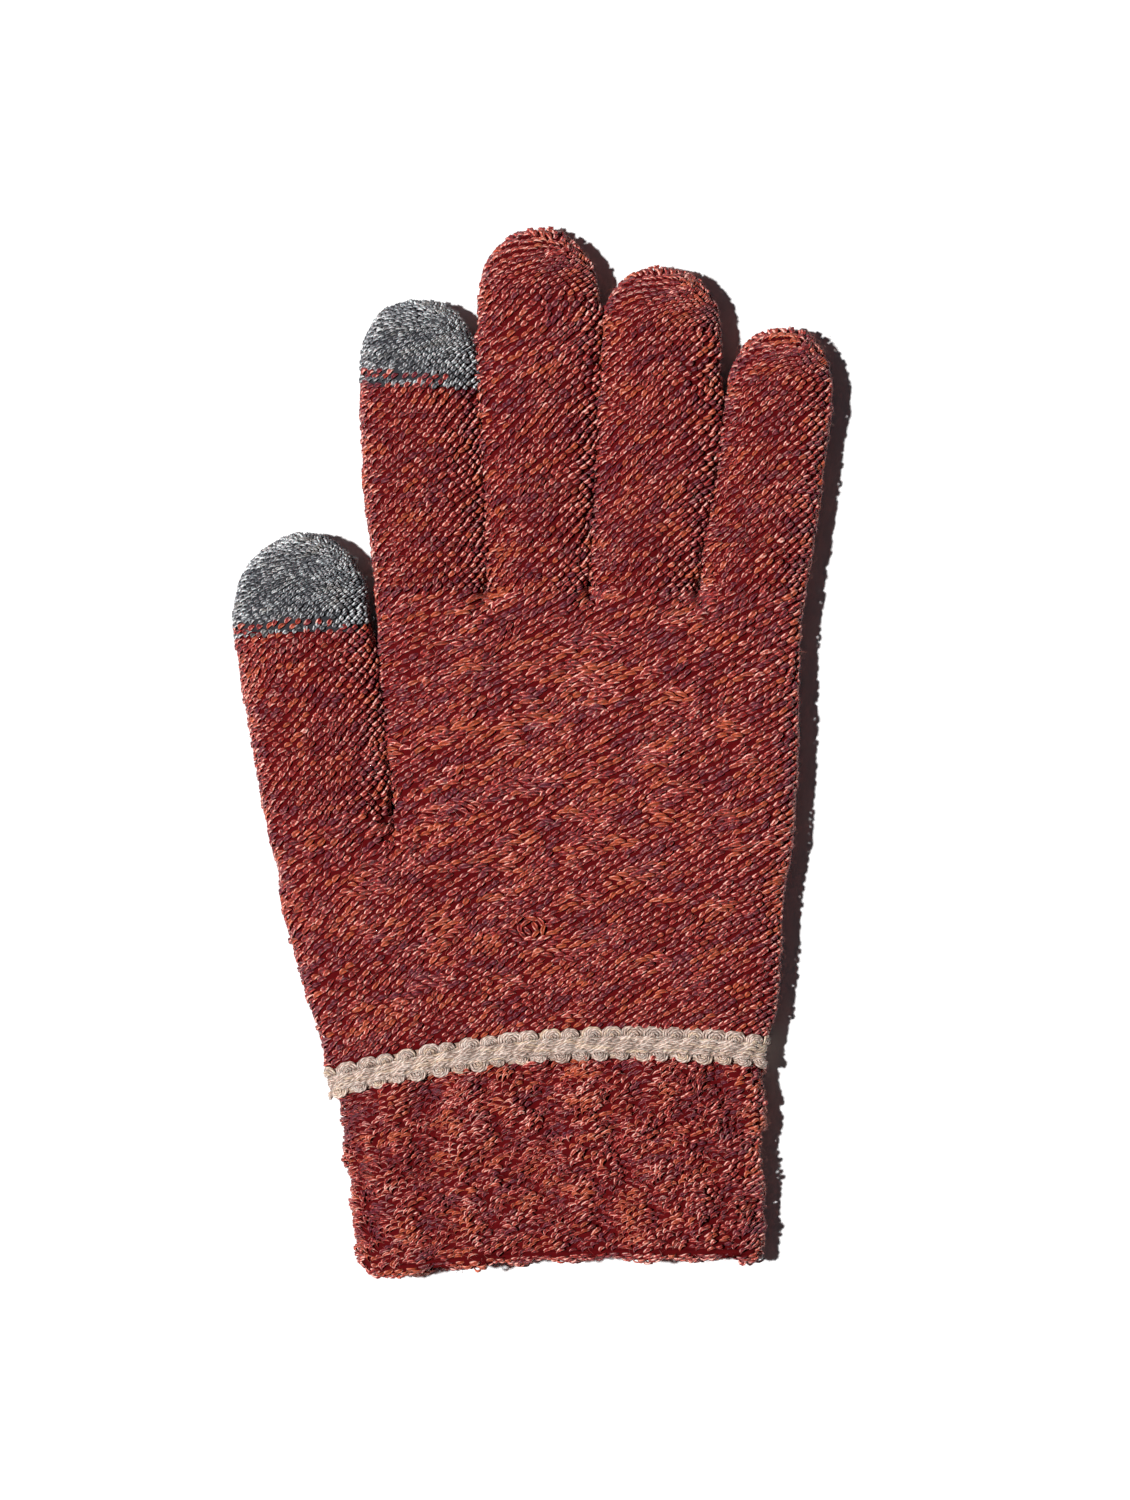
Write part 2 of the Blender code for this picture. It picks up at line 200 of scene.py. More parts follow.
class Edge:
    """Leftmost (side -1) or rightmost (side 1) x of some CAD nodes at any y, smoothed along y.

    low and high leave out the nodes' sloping ends; OFF_CORNERS keeps the rows off mesh corners.
    """

    OFF_CORNERS = 0.63
    BOTTOM_MARGIN, TOP_MARGIN = 0.5, 0.2

    def __init__(self, nodes, side, blur=3.0, low=-106.5, high=1000.0):
        starts, ends = [], []
        for name in nodes:
            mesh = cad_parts[name].data
            points = np.zeros(len(mesh.vertices) * 3)
            mesh.vertices.foreach_get("co", points)
            points = points.reshape(-1, 3) / MM
            edges = np.zeros(len(mesh.edges) * 2, np.int32)
            mesh.edges.foreach_get("vertices", edges)
            edges = edges.reshape(-1, 2)
            starts.append(points[edges[:, 0]])
            ends.append(points[edges[:, 1]])
        start, end = np.vstack(starts), np.vstack(ends)
        rows = []
        bottom = max(start[:, 1].min() + self.BOTTOM_MARGIN, low)
        top = min(start[:, 1].max() - self.TOP_MARGIN, high)
        for y in np.arange(math.floor(bottom) + self.OFF_CORNERS, top, 1.0):
            crossing = (start[:, 1] - y) * (end[:, 1] - y) < 0
            if crossing.any():
                a, b = start[crossing], end[crossing]
                part = (y - a[:, 1]) / (b[:, 1] - a[:, 1])
                x = a[:, 0] + part * (b[:, 0] - a[:, 0])
                rows.append((y, side * (side * x).max()))
        table = np.array(rows)
        self.y = table[:, 0]
        self.x = self.smoothed(table[:, 1], blur)

    @staticmethod
    def smoothed(values, sigma):
        """Gaussian blur that keeps the ends in place."""
        reach = int(3 * sigma) + 1
        kernel = np.exp(-0.5 * (np.arange(-reach, reach + 1) / sigma) ** 2)
        before = 2 * values[0] - values[1:reach + 1][::-1]
        after = 2 * values[-1] - values[-reach - 1:-1][::-1]
        return np.convolve(np.concatenate([before, values, after]), kernel / kernel.sum(), "valid")

    def __call__(self, y):
        return np.interp(y, self.y, self.x)


def make_edges(left, right):
    """Function that gives the left and right edge of a tube at y."""
    return lambda y: (left(y), right(y))


def tucked(edge, amount, span):
    """An edge moved sideways by amount, fading in as y goes through span."""
    return lambda y: edge(y) + amount * smooth_step((span[0] - y) / (span[0] - span[1]))


def touching(right_edge, left_edge, start):
    """Edges of two neighbouring digits moved until they press together where they lie close."""
    def push(y):
        gap = left_edge(y) - right_edge(y)
        inside = smooth_step((y - start - CREASE_START[0]) / CREASE_START[1])
        close = smooth_step((CREASE_REACH - gap) / CREASE_FADE) * inside
        return 0.5 * (gap + CREASE_OVERLAP) * close

    return (lambda y: right_edge(y) + push(y)), (lambda y: left_edge(y) - push(y))


def top_of(node):
    """Height of a CAD node's top in mm."""
    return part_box(node)[1][2] / MM


# ---- small helpers

def ripple(points, wavelength, seed, count=9):
    """Smooth noise of about -1 to 1 with a wavelength in mm: sine waves in seeded directions."""
    rng = np.random.default_rng(seed)
    directions = rng.normal(size=(count, 3))
    directions /= np.linalg.norm(directions, axis=1)[:, None]
    stretch = rng.uniform(0.7, 1.5, count)
    phases = rng.uniform(0, 2 * math.pi, count)
    total = np.zeros(points.shape[:-1])
    for direction, factor, phase in zip(directions, stretch, phases):
        total += np.sin(points @ direction * (2 * math.pi * factor / wavelength) + phase)
    return total / math.sqrt(count)


def smooth_step(value):
    """0 below 0, 1 above 1 and a smooth rise between."""
    value = np.clip(value, 0, 1)
    return value * value * (3 - 2 * value)


def squared(value, fullness):
    """Cosine or sine of a round section turned into that of a fuller, squarer one."""
    return np.sign(value) * np.abs(value) ** (2.0 / fullness)


def arch(crest, fall, offset, x):
    """Height at x of a shallow arch, moved up by offset."""
    return crest[1] + offset - fall * (x - crest[0]) ** 2


# ---- soft tubes

TURN = math.pi / 2 - 2 * math.pi * np.arange(RING_SAMPLES) / RING_SAMPLES


def heights(up, thickness):
    """Height of a section's points above its lowest, with the underside pressed flat."""
    half = thickness / 2
    depth = np.where(up > 0, half, half + FLATTENED_DEPTH)
    return half + np.maximum(depth * up, -half)


def straight_rows(edges, top, fullness, shares, line, lobes=None, inset=BASE_DEPTH):
    """Rings of a tube; line(share, x) is the y of a course at x, lobes reshapes the section.

    The x of a ring's points depends on their y and the other way round, so they settle in 3 rounds.
    """
    across, up = squared(np.cos(TURN), fullness), squared(np.sin(TURN), fullness)
    rings, plain = [], []
    for share in shares:
        x = np.zeros(RING_SAMPLES)
        for _ in range(3):
            y = line(share, x) + np.zeros(RING_SAMPLES)
            left, right = edges(y)
            x = (left + right) / 2 + across * ((right - left) / 2 - inset)
        z = heights(up, top - 2 * inset) + inset
        plain.append(np.stack([x, np.zeros_like(x), z], axis=1))
        if lobes is not None:
            z = heights(lobes(x, y, up), top - 2 * inset) + inset
        rings.append(np.stack([x, y, z], axis=1))
    return rings, plain


def dome_rows(edges, top, digit, inset=BASE_DEPTH):
    """Rings over a fingertip that gather towards a pole at the upper right of its top."""
    start = digit["dome"]
    left, right = edges(start)
    centre, half = (left + right) / 2, (right - left) / 2 - inset
    reach = digit["tip"][1] - start - inset
    full = top - 2 * inset
    count = int(round((reach + half) / 2 * math.pi / 2 / DIGIT_HALF_COURSE))
    lean = np.array([POLE_LEAN[0], 0.0, POLE_LEAN[1]]) / math.hypot(*POLE_LEAN)
    rings = []
    for step in list(range(1, count)) + [count - DOME_OPENING]:
        latitude = step / count * math.pi / 2
        tilt = math.radians(DOME_TILT) * smooth_step(step / count)
        ring = np.stack([math.cos(latitude) * np.cos(TURN),
                         np.full(RING_SAMPLES, math.sin(latitude)),
                         math.cos(latitude) * np.sin(TURN)], axis=1)
        forward, sideways = ring[:, 1], ring @ lean
        turned_forward = forward * math.cos(tilt) - sideways * math.sin(tilt)
        turned_sideways = sideways * math.cos(tilt) + forward * math.sin(tilt)
        ring += np.outer(turned_forward - forward, [0, 1, 0])
        ring += np.outer(turned_sideways - sideways, lean)
        level = ring[:, 1]
        shrink = np.sqrt(np.clip(1 - np.maximum(level, 0) ** 2, 1e-9, 1))
        flat = np.maximum(np.hypot(ring[:, 0], ring[:, 2]), 1e-9)
        x_share = squared(ring[:, 0] / flat, FINGER_FULLNESS)
        z_share = squared(ring[:, 2] / flat, FINGER_FULLNESS)
        y = start + level * reach
        low_left, low_right = edges(np.minimum(y, start))
        middle = (low_left + low_right) / 2
        middle = middle + np.maximum(level, 0) ** 2 * (digit["tip"][0] - centre)
        x = middle + x_share * ((low_right - low_left) / 2 - inset) * shrink
        z = inset + heights(z_share, full) * shrink + DOME_SETTLE * full * (1 - shrink)
        rings.append(np.stack([x, y, z], axis=1))
    return rings


class Tube:
    """Rings resampled evenly around, with directions: across the hand, along it, and outwards.

    The way around is measured on the plain rings, so that lobes stretch the yarn and don't turn it.
    The first `straight` rows have as many wales as the row `join`, where they meet another tube's.
    """

    def __init__(self, rings, plain, relief=None, join=0, straight=None, wale=WALE):
        even = []
        self.around = []
        for ring, flat in zip(rings, plain):
            closed = np.vstack([ring, ring[:1]])
            steps = np.linalg.norm(np.diff(np.vstack([flat, flat[:1]]), axis=0), axis=1)
            travel = np.concatenate([[0], np.cumsum(steps)])
            target = np.arange(RING_SAMPLES) / RING_SAMPLES * travel[-1]
            even.append(np.stack([np.interp(target, travel, closed[:, k]) for k in range(3)], 1))
            self.around.append(travel[-1])
        self.points = np.array(even)
        self.around = np.array(self.around)
        straight = len(rings) if straight is None else straight
        self.wales = np.maximum(np.round(self.around / wale), 5).astype(int)
        self.wales[:straight] = self.wales[join]
        self.phase = -self.points[join, 0, 0] / wale % 1.0
        self.measure()
        if relief is not None:
            self.points = self.points + self.normal * relief(self.points)[..., None]
            self.measure()

    def measure(self):
        """Directions at each point, with the longest stretch around held back."""
        gap = 2 * self.around[:, None, None] / RING_SAMPLES
        across = (np.roll(self.points, -1, axis=1) - np.roll(self.points, 1, axis=1)) / gap
        stretch = np.linalg.norm(across, axis=2)[..., None]
        self.across = across / np.maximum(stretch / LONGEST_STRETCH, 1)
        self.along = np.gradient(self.points, axis=0) / HALF_COURSE
        normal = np.cross(self.across, self.along)
        self.normal = normal / np.maximum(np.linalg.norm(normal, axis=2), 1e-9)[..., None]

    def at(self, row, place):
        """Point, across, along and normal at fractional rows and shares of the way around."""
        row = np.clip(row, 0, len(self.points) - 1.001)
        r = row.astype(int)
        fr = (row - r)[:, None]
        spot = (place % 1.0) * RING_SAMPLES
        s = spot.astype(int) % RING_SAMPLES
        fs = (spot - np.floor(spot))[:, None]
        following = (s + 1) % RING_SAMPLES
        found = []
        for field in (self.points, self.across, self.along, self.normal):
            near = field[r, s] * (1 - fs) + field[r, following] * fs
            far = field[r + 1, s] * (1 - fs) + field[r + 1, following] * fs
            found.append(near * (1 - fr) + far * fr)
        return found


# ---- meshes from many strands

def leg_template(sides, steps):
    """Unit yarn leg of two plies: (along, across, up) of each vertex, phase, faces, map places."""
    along = np.linspace(-1, 1, steps + 1)
    around = 2 * math.pi * np.arange(sides) / sides
    thick = 1 - LEG_TAPER * along ** 2
    crest = (1 - along ** 2) - LEG_DIVE * along ** 4
    vertices, phase, faces, places = [], [], [], []
    for ply in (0, 1):
        turn = math.pi * ply + PLY_TURN * along
        b = (PLY_GAP * np.cos(turn) * thick)[:, None] + PLY_RADIUS * thick[:, None] * np.sin(around)
        w = (crest + PLY_FLATNESS * PLY_GAP * np.sin(turn) * thick)[:, None]
        w = w - PLY_RADIUS * thick[:, None] * np.cos(around)
        vertices.append(np.stack([np.repeat(along, sides), b.ravel(), w.ravel()], axis=1))
        phase.append((ply * 0.5 + np.arange(sides) / sides + PLY_TWIST * along[:, None]).ravel())
        ply_faces, ply_places = tube_faces(sides, steps)
        faces += [[corner + ply * sides * (steps + 1) for corner in face] for face in ply_faces]
        places += [[(u, (v + ply) / 2) for u, v in corners] for corners in ply_places]
    return np.concatenate(vertices), np.concatenate(phase), faces, places


def tube_faces(sides, steps):
    """Faces of a capped tube of rings, facing out, and a place in the unit square for each corner."""
    faces, places = [], []
    for step in range(steps):
        for side in range(sides):
            following = (side + 1) % sides
            faces.append([step * sides + side, step * sides + following,
                          (step + 1) * sides + following, (step + 1) * sides + side])
            u0, u1, v0, v1 = step / steps, (step + 1) / steps, side / sides, (side + 1) / sides
            places.append([(u0, v0), (u0, v1), (u1, v1), (u1, v0)])
    start_cap = list(reversed(range(sides)))
    end_cap = list(range(sides))
    faces += [start_cap, [steps * sides + side for side in end_cap]]
    places += [[(0.0, side / sides) for side in start_cap], [(1.0, side / sides) for side in end_cap]]
    return faces, places


class Knit:
    """Collects yarn legs, strands and skins, and makes one mesh of them."""

    YARN_SLOT, SKIN_SLOT = 0, 1
    SKIN_SHARE, SKIN_GAP = 0.12, 0.01
    CELL_MARGIN = 0.12

    def __init__(self):
        self.vertices, self.attributes = [], []
        self.loops, self.totals, self.cells, self.slots = [], [], [], []
        self.vertex_count = 0
        self.cell_count = 0

    def add_copies(self, vertices, phase, faces, places, shade, heather):
        """vertices (copies, points, 3): copies of one shape, each with its own cell of the map."""
        n, m = vertices.shape[:2]
        flat = np.concatenate([np.array(face) for face in faces])
        totals = np.array([len(face) for face in faces])
        place = np.concatenate([np.array(corner) for corner in places])
        self.vertices.append(vertices.reshape(-1, 3))
        self.attributes.append(np.stack([np.repeat(shade, m), np.repeat(heather, m),
                                         np.tile(phase, n)], axis=1))
        self.loops.append((flat[None, :] + self.vertex_count + np.arange(n)[:, None] * m).ravel())
        self.totals.append(np.tile(totals, n))
        cell = self.cell_count + np.arange(n)
        self.cells.append(np.column_stack([np.repeat(cell, len(flat)), np.tile(place, (n, 1))]))
        self.slots.append(np.full(n * len(totals), self.YARN_SLOT))
        self.vertex_count += n * m
        self.cell_count += n

    def add_legs(self, template, spot, looks):
        """One leg on each spot (point, across, along, normal), sized and turned by its looks."""
        unit, phase, faces, places = template
        centre, across, along, normal = spot
        a = unit[None, :, 0] * looks["length"][:, None]
        b = unit[None, :, 1] * looks["width"][:, None]
        b = b + looks["bow"][:, None] * (1 - unit[None, :, 0] ** 2)
        w = unit[None, :, 2] * looks["tall"][:, None] + looks["lift"][:, None]
        cosine, sine = np.cos(looks["angle"])[:, None], np.sin(looks["angle"])[:, None]
        u, v = a * cosine - b * sine, a * sine + b * cosine
        vertices = (centre[:, None, :] + u[..., None] * across[:, None, :]
                    + v[..., None] * along[:, None, :] + w[..., None] * normal[:, None, :])
        self.add_copies(vertices, phase, faces, places, looks["shade"], looks["heather"])

    def add_strands(self, paths, outward, radius, sides, shade, heather, twist):
        """Round strands along paths (n, m, 3); outward (n, m, 3) points away from the fabric.

        twist is the turn of the plies from one point of a path to the next.
        """
        n, m = paths.shape[:2]
        tangent = np.gradient(paths, axis=1)
        tangent /= np.maximum(np.linalg.norm(tangent, axis=2), 1e-9)[..., None]
        side = np.cross(tangent, outward)
        side /= np.maximum(np.linalg.norm(side, axis=2), 1e-9)[..., None]
        up = np.cross(side, tangent)
        around = 2 * math.pi * np.arange(sides) / sides
        ring = (-side[:, :, None, :] * np.sin(around)[None, None, :, None]
                - up[:, :, None, :] * np.cos(around)[None, None, :, None])
        vertices = paths[:, :, None, :] + ring * radius[:, :, None, None]
        phase = (2 * np.arange(sides)[None, :] / sides + twist * np.arange(m)[:, None]).ravel()
        faces, places = tube_faces(sides, m - 1)
        self.add_copies(vertices.reshape(n, m * sides, 3), phase, faces, places, shade, heather)

    def add_skin(self, tube, first, last, samples=SKIN_SAMPLES):
        """Thin closed shell just under the stitches, from one row to another."""
        picks = np.linspace(0, RING_SAMPLES, samples, endpoint=False).astype(int)
        points = tube.points[first:last + 1, picks]
        normal = tube.normal[first:last + 1, picks]
        outer = points - normal * SKIN_DEPTH
        inner = points - normal * (SKIN_DEPTH + SKIN_WALL)
        stack = np.concatenate([outer, inner[::-1]], axis=0)
        rows = len(stack)
        r, s = np.arange(rows)[:, None], np.arange(samples)[None, :]
        near, far = r * samples, (r + 1) % rows * samples
        following = (s + 1) % samples
        quads = np.stack([near + s, near + following, far + following, far + s], -1).reshape(-1, 4)
        self.vertices.append(stack.reshape(-1, 3))
        self.attributes.append(np.zeros((rows * samples, 3)))
        self.loops.append((quads + self.vertex_count).ravel())
        self.totals.append(np.full(len(quads), 4))
        u0, v0 = np.broadcast_arrays(s / samples, r / rows)
        u1, v1 = u0 + 1 / samples, v0 + 1 / rows
        corners = np.stack([u0, v0, u1, v0, u1, v1, u0, v1], axis=-1).reshape(-1, 2)
        self.cells.append(np.column_stack([np.full(len(corners), -1), corners]))
        self.slots.append(np.full(len(quads), self.SKIN_SLOT))
        self.vertex_count += rows * samples

    def bake_map(self):
        """Texture places: skins in a strip at the bottom, one small cell for each strand above."""
        side = max(1, math.ceil(math.sqrt(self.cell_count)))
        cells = np.concatenate(self.cells)
        cell, place = cells[:, 0].astype(int), cells[:, 1:]
        inner = self.CELL_MARGIN + (1 - 2 * self.CELL_MARGIN) * place
        leg_u = (cell % side + inner[:, 0]) / side
        leg_v = self.SKIN_SHARE + (1 - self.SKIN_SHARE) * (cell // side + inner[:, 1]) / side
        skin_v = place[:, 1] * (self.SKIN_SHARE - self.SKIN_GAP)
        on_skin = cell < 0
        return np.stack([np.where(on_skin, place[:, 0], leg_u), np.where(on_skin, skin_v, leg_v)], 1)

    def build(self, name, materials):
        """One object of everything collected: its yarn in the first material, skins in the second."""
        mesh = bpy.data.meshes.new(name)
        vertices = (np.concatenate(self.vertices) * MM).astype(np.float32)
        vertices[:, 2] = np.maximum(vertices[:, 2], RESTING_HEIGHT * MM)
        loops = np.concatenate(self.loops).astype(np.int32)
        totals = np.concatenate(self.totals).astype(np.int32)
        starts = np.concatenate([[0], np.cumsum(totals)[:-1]]).astype(np.int32)
        mesh.vertices.add(len(vertices))
        mesh.vertices.foreach_set("co", vertices.ravel())
        mesh.loops.add(len(loops))
        mesh.loops.foreach_set("vertex_index", loops)
        mesh.polygons.add(len(totals))
        mesh.polygons.foreach_set("loop_start", starts)
        mesh.polygons.foreach_set("loop_total", totals)
        mesh.polygons.foreach_set("material_index", np.concatenate(self.slots).astype(np.int32))
        mesh.update(calc_edges=True)
        mesh.shade_smooth()
        table = np.concatenate(self.attributes).astype(np.float32)
        for column, label in enumerate(("shade", "heather", "ply")):
            attribute = mesh.attributes.new(label, "FLOAT", "POINT")
            attribute.data.foreach_set("value", np.ascontiguousarray(table[:, column]))
        layer = mesh.uv_layers.new(name="OFBake")
        layer.data.foreach_set("uv", self.bake_map().astype(np.float32).ravel())
        for material in materials:
            mesh.materials.append(material)
        thing = bpy.data.objects.new(name, mesh)
        bpy.context.scene.collection.objects.link(thing)
        return thing


FRONT_LEG = leg_template(5, 4)
BACK_LEG = leg_template(4, 3)


# ---- how the yarn lies

# A style gives the looks of each leg: half its length, its width, height and lift off the fabric,
# the bow along it, its angle from the course, and its tone. The two numbers of each ripple are its
# wavelength and its seed, and those of each rng.normal are a mean and a spread.

def yarn_tone(centre, rng):
    """Shade from 0 dark to 1 light and heather from -1 purple to 1 orange, for each strand."""
    n = len(centre)
    along_yarn = centre * np.array([0.45, 1.0, 0.7])
    shade = 0.47 + 0.11 * ripple(along_yarn, 3.0, 71) + rng.normal(0, 0.08, n)
    heather = 0.37 * ripple(along_yarn, 5.5, 72) + 0.42 * ripple(along_yarn, 2.8, 73)
    heather = heather + rng.normal(0, 0.14, n)
    return np.clip(shade, 0, 1), np.clip(heather, -1, 1)


def plain_style(centre, normal, rng):
    """Even machine-knit legs that all lean the same way, with small differences."""
    n = len(centre)
    shade, heather = yarn_tone(centre, rng)
    lean = LEG_ANGLE + 7.0 * ripple(centre, 11.0, 31) + rng.normal(0, 8.0, n)
    return {
        "length": LEG_HALF_LENGTH * rng.normal(1.0, 0.09, n),
        "width": LEG_RADIUS * rng.normal(1.0, 0.10, n),
        "bow": rng.normal(0.14, 0.10, n),
        "angle": np.radians(lean),
        "lift": rng.normal(0, 0.09, n) + 0.10 * ripple(centre, 5.0, 32),
        "tall": LEG_RISE * rng.normal(1.0, 0.14, n),
        "shade": shade,
        "heather": heather,
    }


def distance_in(centre, middle, size):
    """Distance from a middle point of the palm, 1 at the edge of an ellipse of that size."""
    return np.hypot((centre[:, 0] - middle[0]) / size[0], (centre[:, 1] - middle[1]) / size[1])


def palm_style(centre, normal, rng):
    """Plain legs with patches of longer, nearly level floats that arch, and one small swirl."""
    looks = plain_style(centre, normal, rng)
    angle = np.degrees(looks["angle"]) + DIGIT_TURN * smooth_step((centre[:, 1] - 18.0) / 18.0)
    front = smooth_step(normal[:, 2] * 2)
    reach = distance_in(centre, PATCH_MIDDLE, PATCH_REACH)
    field = ripple(centre * np.array([0.55, 1.0, 1.0]), 8.5, 42) + 0.5 * smooth_step(1.4 - reach) - 0.2
    for middle, size in PATCHES:
        field = np.maximum(field, 1.7 - 1.3 * distance_in(centre, middle, size))
    inside = smooth_step((field - 0.55) * 2.2) * smooth_step(2.0 - 1.3 * reach) * front
    level = 8 + 15 * ripple(centre * np.array([1.0, 0.6, 1.0]), 6.0, 43)
    level += rng.normal(0, 6.0, len(centre))
    angle = angle * (1 - inside) + level * inside
    looks["length"] *= 1 + 0.25 * inside
    looks["bow"] += 0.20 * inside
    looks["lift"] += (0.20 + rng.normal(0, 0.12, len(centre))) * inside
    looks["heather"] = np.clip(looks["heather"] + 0.30 * inside, -1, 1)
    u, v = centre[:, 0] - SWIRL["middle"][0], centre[:, 1] - SWIRL["middle"][1]
    inside = smooth_step(2.0 - 2.0 * np.hypot(u, v) / SWIRL["radius"]) * front
    ring_angle = np.degrees(np.arctan2(u, -v)) % 180.0
    ring_angle = np.where(ring_angle > 90, ring_angle - 180, ring_angle)
    looks["lift"] += 0.15 * inside
    looks["angle"] = np.radians(angle * (1 - inside) + ring_angle * inside)
    return looks


def cuff_style(centre, normal, rng):
    """Small crinkled loops, thrown about by the elastic, with painted shade in the hollows and painted light
    on the bumps.
    """
    looks = plain_style(centre, normal, rng)
    n = len(centre)
    turn = 14 * ripple(centre * np.array([1.0, 0.8, 1.0]), 7.0, 51) + 12 * ripple(centre, 4.2, 56)
    looks["angle"] = np.radians(27 + turn + rng.normal(0, 9, n))
    looks["bow"] = 0.70 + 0.35 * ripple(centre, 5.0, 55) + rng.normal(0, 0.20, n)
    looks["length"] *= 0.98 + 0.10 * ripple(centre, 5.0, 52)
    looks["width"] *= 0.86
    looks["tall"] *= 1.2 + 0.25 * ripple(centre, 4.0, 53)
    looks["lift"] += 0.20 * ripple(centre, 4.5, 54) + rng.normal(0, 0.06, n)
    # Painted light and shade: legs on the crinkle's bumps are lighter and more orange, those in its hollows
    # darker and more purple
    relief_for_painted_light = crinkle(centre)
    looks["shade"] = np.clip(looks["shade"] + 0.05 + 0.18 * relief_for_painted_light, 0, 1)
    looks["heather"] = np.clip(looks["heather"] + 0.10 + 0.34 * relief_for_painted_light, -1, 1)
    return looks


def hem_style(centre, normal, rng):
    """Overlock stitches of the hem: calmer loops, laid closely around the edge."""
    looks = cuff_style(centre, normal, rng)
    for name, factor in (("angle", 0.5), ("bow", 0.3), ("width", 1.25), ("tall", 0.7), ("lift", 0.5)):
        looks[name] *= factor
    return looks


def digit_style(centre, normal, rng):
    """Steeper legs, since a finger's courses are drawn out along it."""
    looks = plain_style(centre, normal, rng)
    looks["angle"] += math.radians(DIGIT_TURN)
    looks["shade"] = np.clip(looks["shade"] + rng.normal(0.02, 0.06, len(centre)), 0, 1)
    return looks


def grey_style(centre, normal, rng):
    """Legs of the touch-screen yarn, slightly thicker and less heathered."""
    looks = digit_style(centre, normal, rng)
    looks["width"] *= 1.05
    looks["angle"] += np.radians(10 * ripple(centre, 6.0, 61))
    looks["heather"] *= 0.6
    looks["shade"] = np.clip(looks["shade"] + rng.normal(0, 0.10, len(centre)), 0, 1)
    return looks


def turned_from_level(spot):
    """Angle by which a course is turned on the front of the hand, fading to none on the sides."""
    across, normal = spot[1], spot[3]
    turn = np.arctan2(across[:, 1], across[:, 0])
    front = smooth_step((normal[:, 2] - 0.1) * 1.6)
    return np.clip(turn, -1.2, 1.2) * front * (np.abs(turn) < 1.8)


def even_places(tube, rows, rng, stray, pack):
    """Row, share of the way around and relative spacing of each stitch of the lattice."""
    courses = rows if pack == 1.0 else np.arange(rows[0], rows[-1], 1.0 / pack)
    parts = []
    for number, course in enumerate(courses):
        near = int(course)
        n = round(tube.wales[near] * pack)
        parity = near % 2 if pack == 1.0 else number % 2
        wale = np.arange(n) - n // 2 + 0.5 * parity + tube.phase + rng.normal(0, WALE_STRAY * stray, n)
        row = course + rng.normal(0, stray, n)
        parts.append((row, wale / n, np.full(n, tube.around[near] / n / WALE)))
    return [np.concatenate(column) for column in zip(*parts)]


def lay_stitches(knit, tube, rows, rng, style, keep=None, stray=0.08, pack=1.0, pull=0.0):
    """One yarn leg on each stitch place of the given rows, pack times as many for finer yarn.

    Places drift smoothly by part of a stitch, stray a little at random, and pull moves them in
    small patches, as a crinkled fabric does. Where the tube is stretched, two more legs fill in.
    """
    row, place, pitch = even_places(tube, rows, rng, stray, pack)
    centre = tube.at(row, place)[0]
    row = row + ROW_DRIFT * ripple(centre, DRIFT_WAVE, 33) + pull * ripple(centre, PULL_WAVE, 35)
    drift = WALE_DRIFT * ripple(centre, DRIFT_WAVE, 34) + pull * ripple(centre, PULL_WAVE, 36)
    place = place + drift * WALE / tube.around[0]
    thin = np.linalg.norm(tube.at(row, place)[1], axis=1) > THIN_STRETCH
    step = WALE / 3 / tube.around[0]
    row = np.concatenate([row, row[thin], row[thin]])
    place = np.concatenate([place, place[thin] - step, place[thin] + step])
    pitch = np.concatenate([pitch, pitch[thin], pitch[thin]])
    spot = tube.at(row, place)
    looks = style(spot[0], spot[3], rng)
    looks["angle"] -= LEVELLING * turned_from_level(spot)
    looks["length"] *= pitch
    looks["width"] *= np.sqrt(pitch)
    chosen = np.ones(len(row), bool) if keep is None else keep(spot[0])
    front = spot[3][:, 2] > UNDERSIDE
    for template, group in ((FRONT_LEG, front & chosen), (BACK_LEG, ~front & chosen)):
        if group.any():
            picked = {name: values[group] for name, values in looks.items()}
            knit.add_legs(template, [field[group] for field in spot], picked)


def lay_fuzz(knit, tube, rows, count, rng):
    """Fine stray fibres that stand a little off the knit."""
    row = rng.uniform(rows[0], rows[-1], count)
    place = rng.uniform(0, 1, count)
    spot = tube.at(row, place)
    seen = spot[3][:, 2] > FUZZ_FREE
    centre, across, along, normal = (field[seen][:, None] for field in spot)
    n = len(centre)
    turn = rng.uniform(0, 2 * math.pi, (n, 1))
    size = FUZZ_LENGTH * rng.uniform(0.5, 1.3, (n, 1))
    rise = rng.uniform(0.5, 1.5, (n, 1))
    bend = rng.uniform(-1.2, 1.2, (n, 1))
    steps = np.linspace(0, 1, FUZZ_POINTS)
    heading = turn + bend * steps
    forward = size / (FUZZ_POINTS - 1)
    u = np.cumsum(np.cos(heading) * forward, axis=1)[..., None]
    v = np.cumsum(np.sin(heading) * forward, axis=1)[..., None]
    w = (0.2 + rise * np.sin(steps * math.pi * 0.85))[..., None]
    paths = centre + u * across + v * along + w * normal
    outward = np.repeat(normal, FUZZ_POINTS, axis=1)
    radius = np.tile(FUZZ_RADIUS * (1 - 0.6 * steps), (n, 1))
    shade = np.clip(rng.normal(0.8, 0.15, n), 0, 1)
    knit.add_strands(paths, outward, radius, 3, shade, rng.uniform(-0.5, 0.8, n), 0.0)


# ---- materials

def srgb(red, green, blue):
    """Linear colour of a colour given as 0 to 255."""
    shares = [value / 255 for value in (red, green, blue)]
    linear = [s / 12.92 if s <= 0.04045 else ((s + 0.055) / 1.055) ** 2.4 for s in shares]
    return (*linear, 1.0)


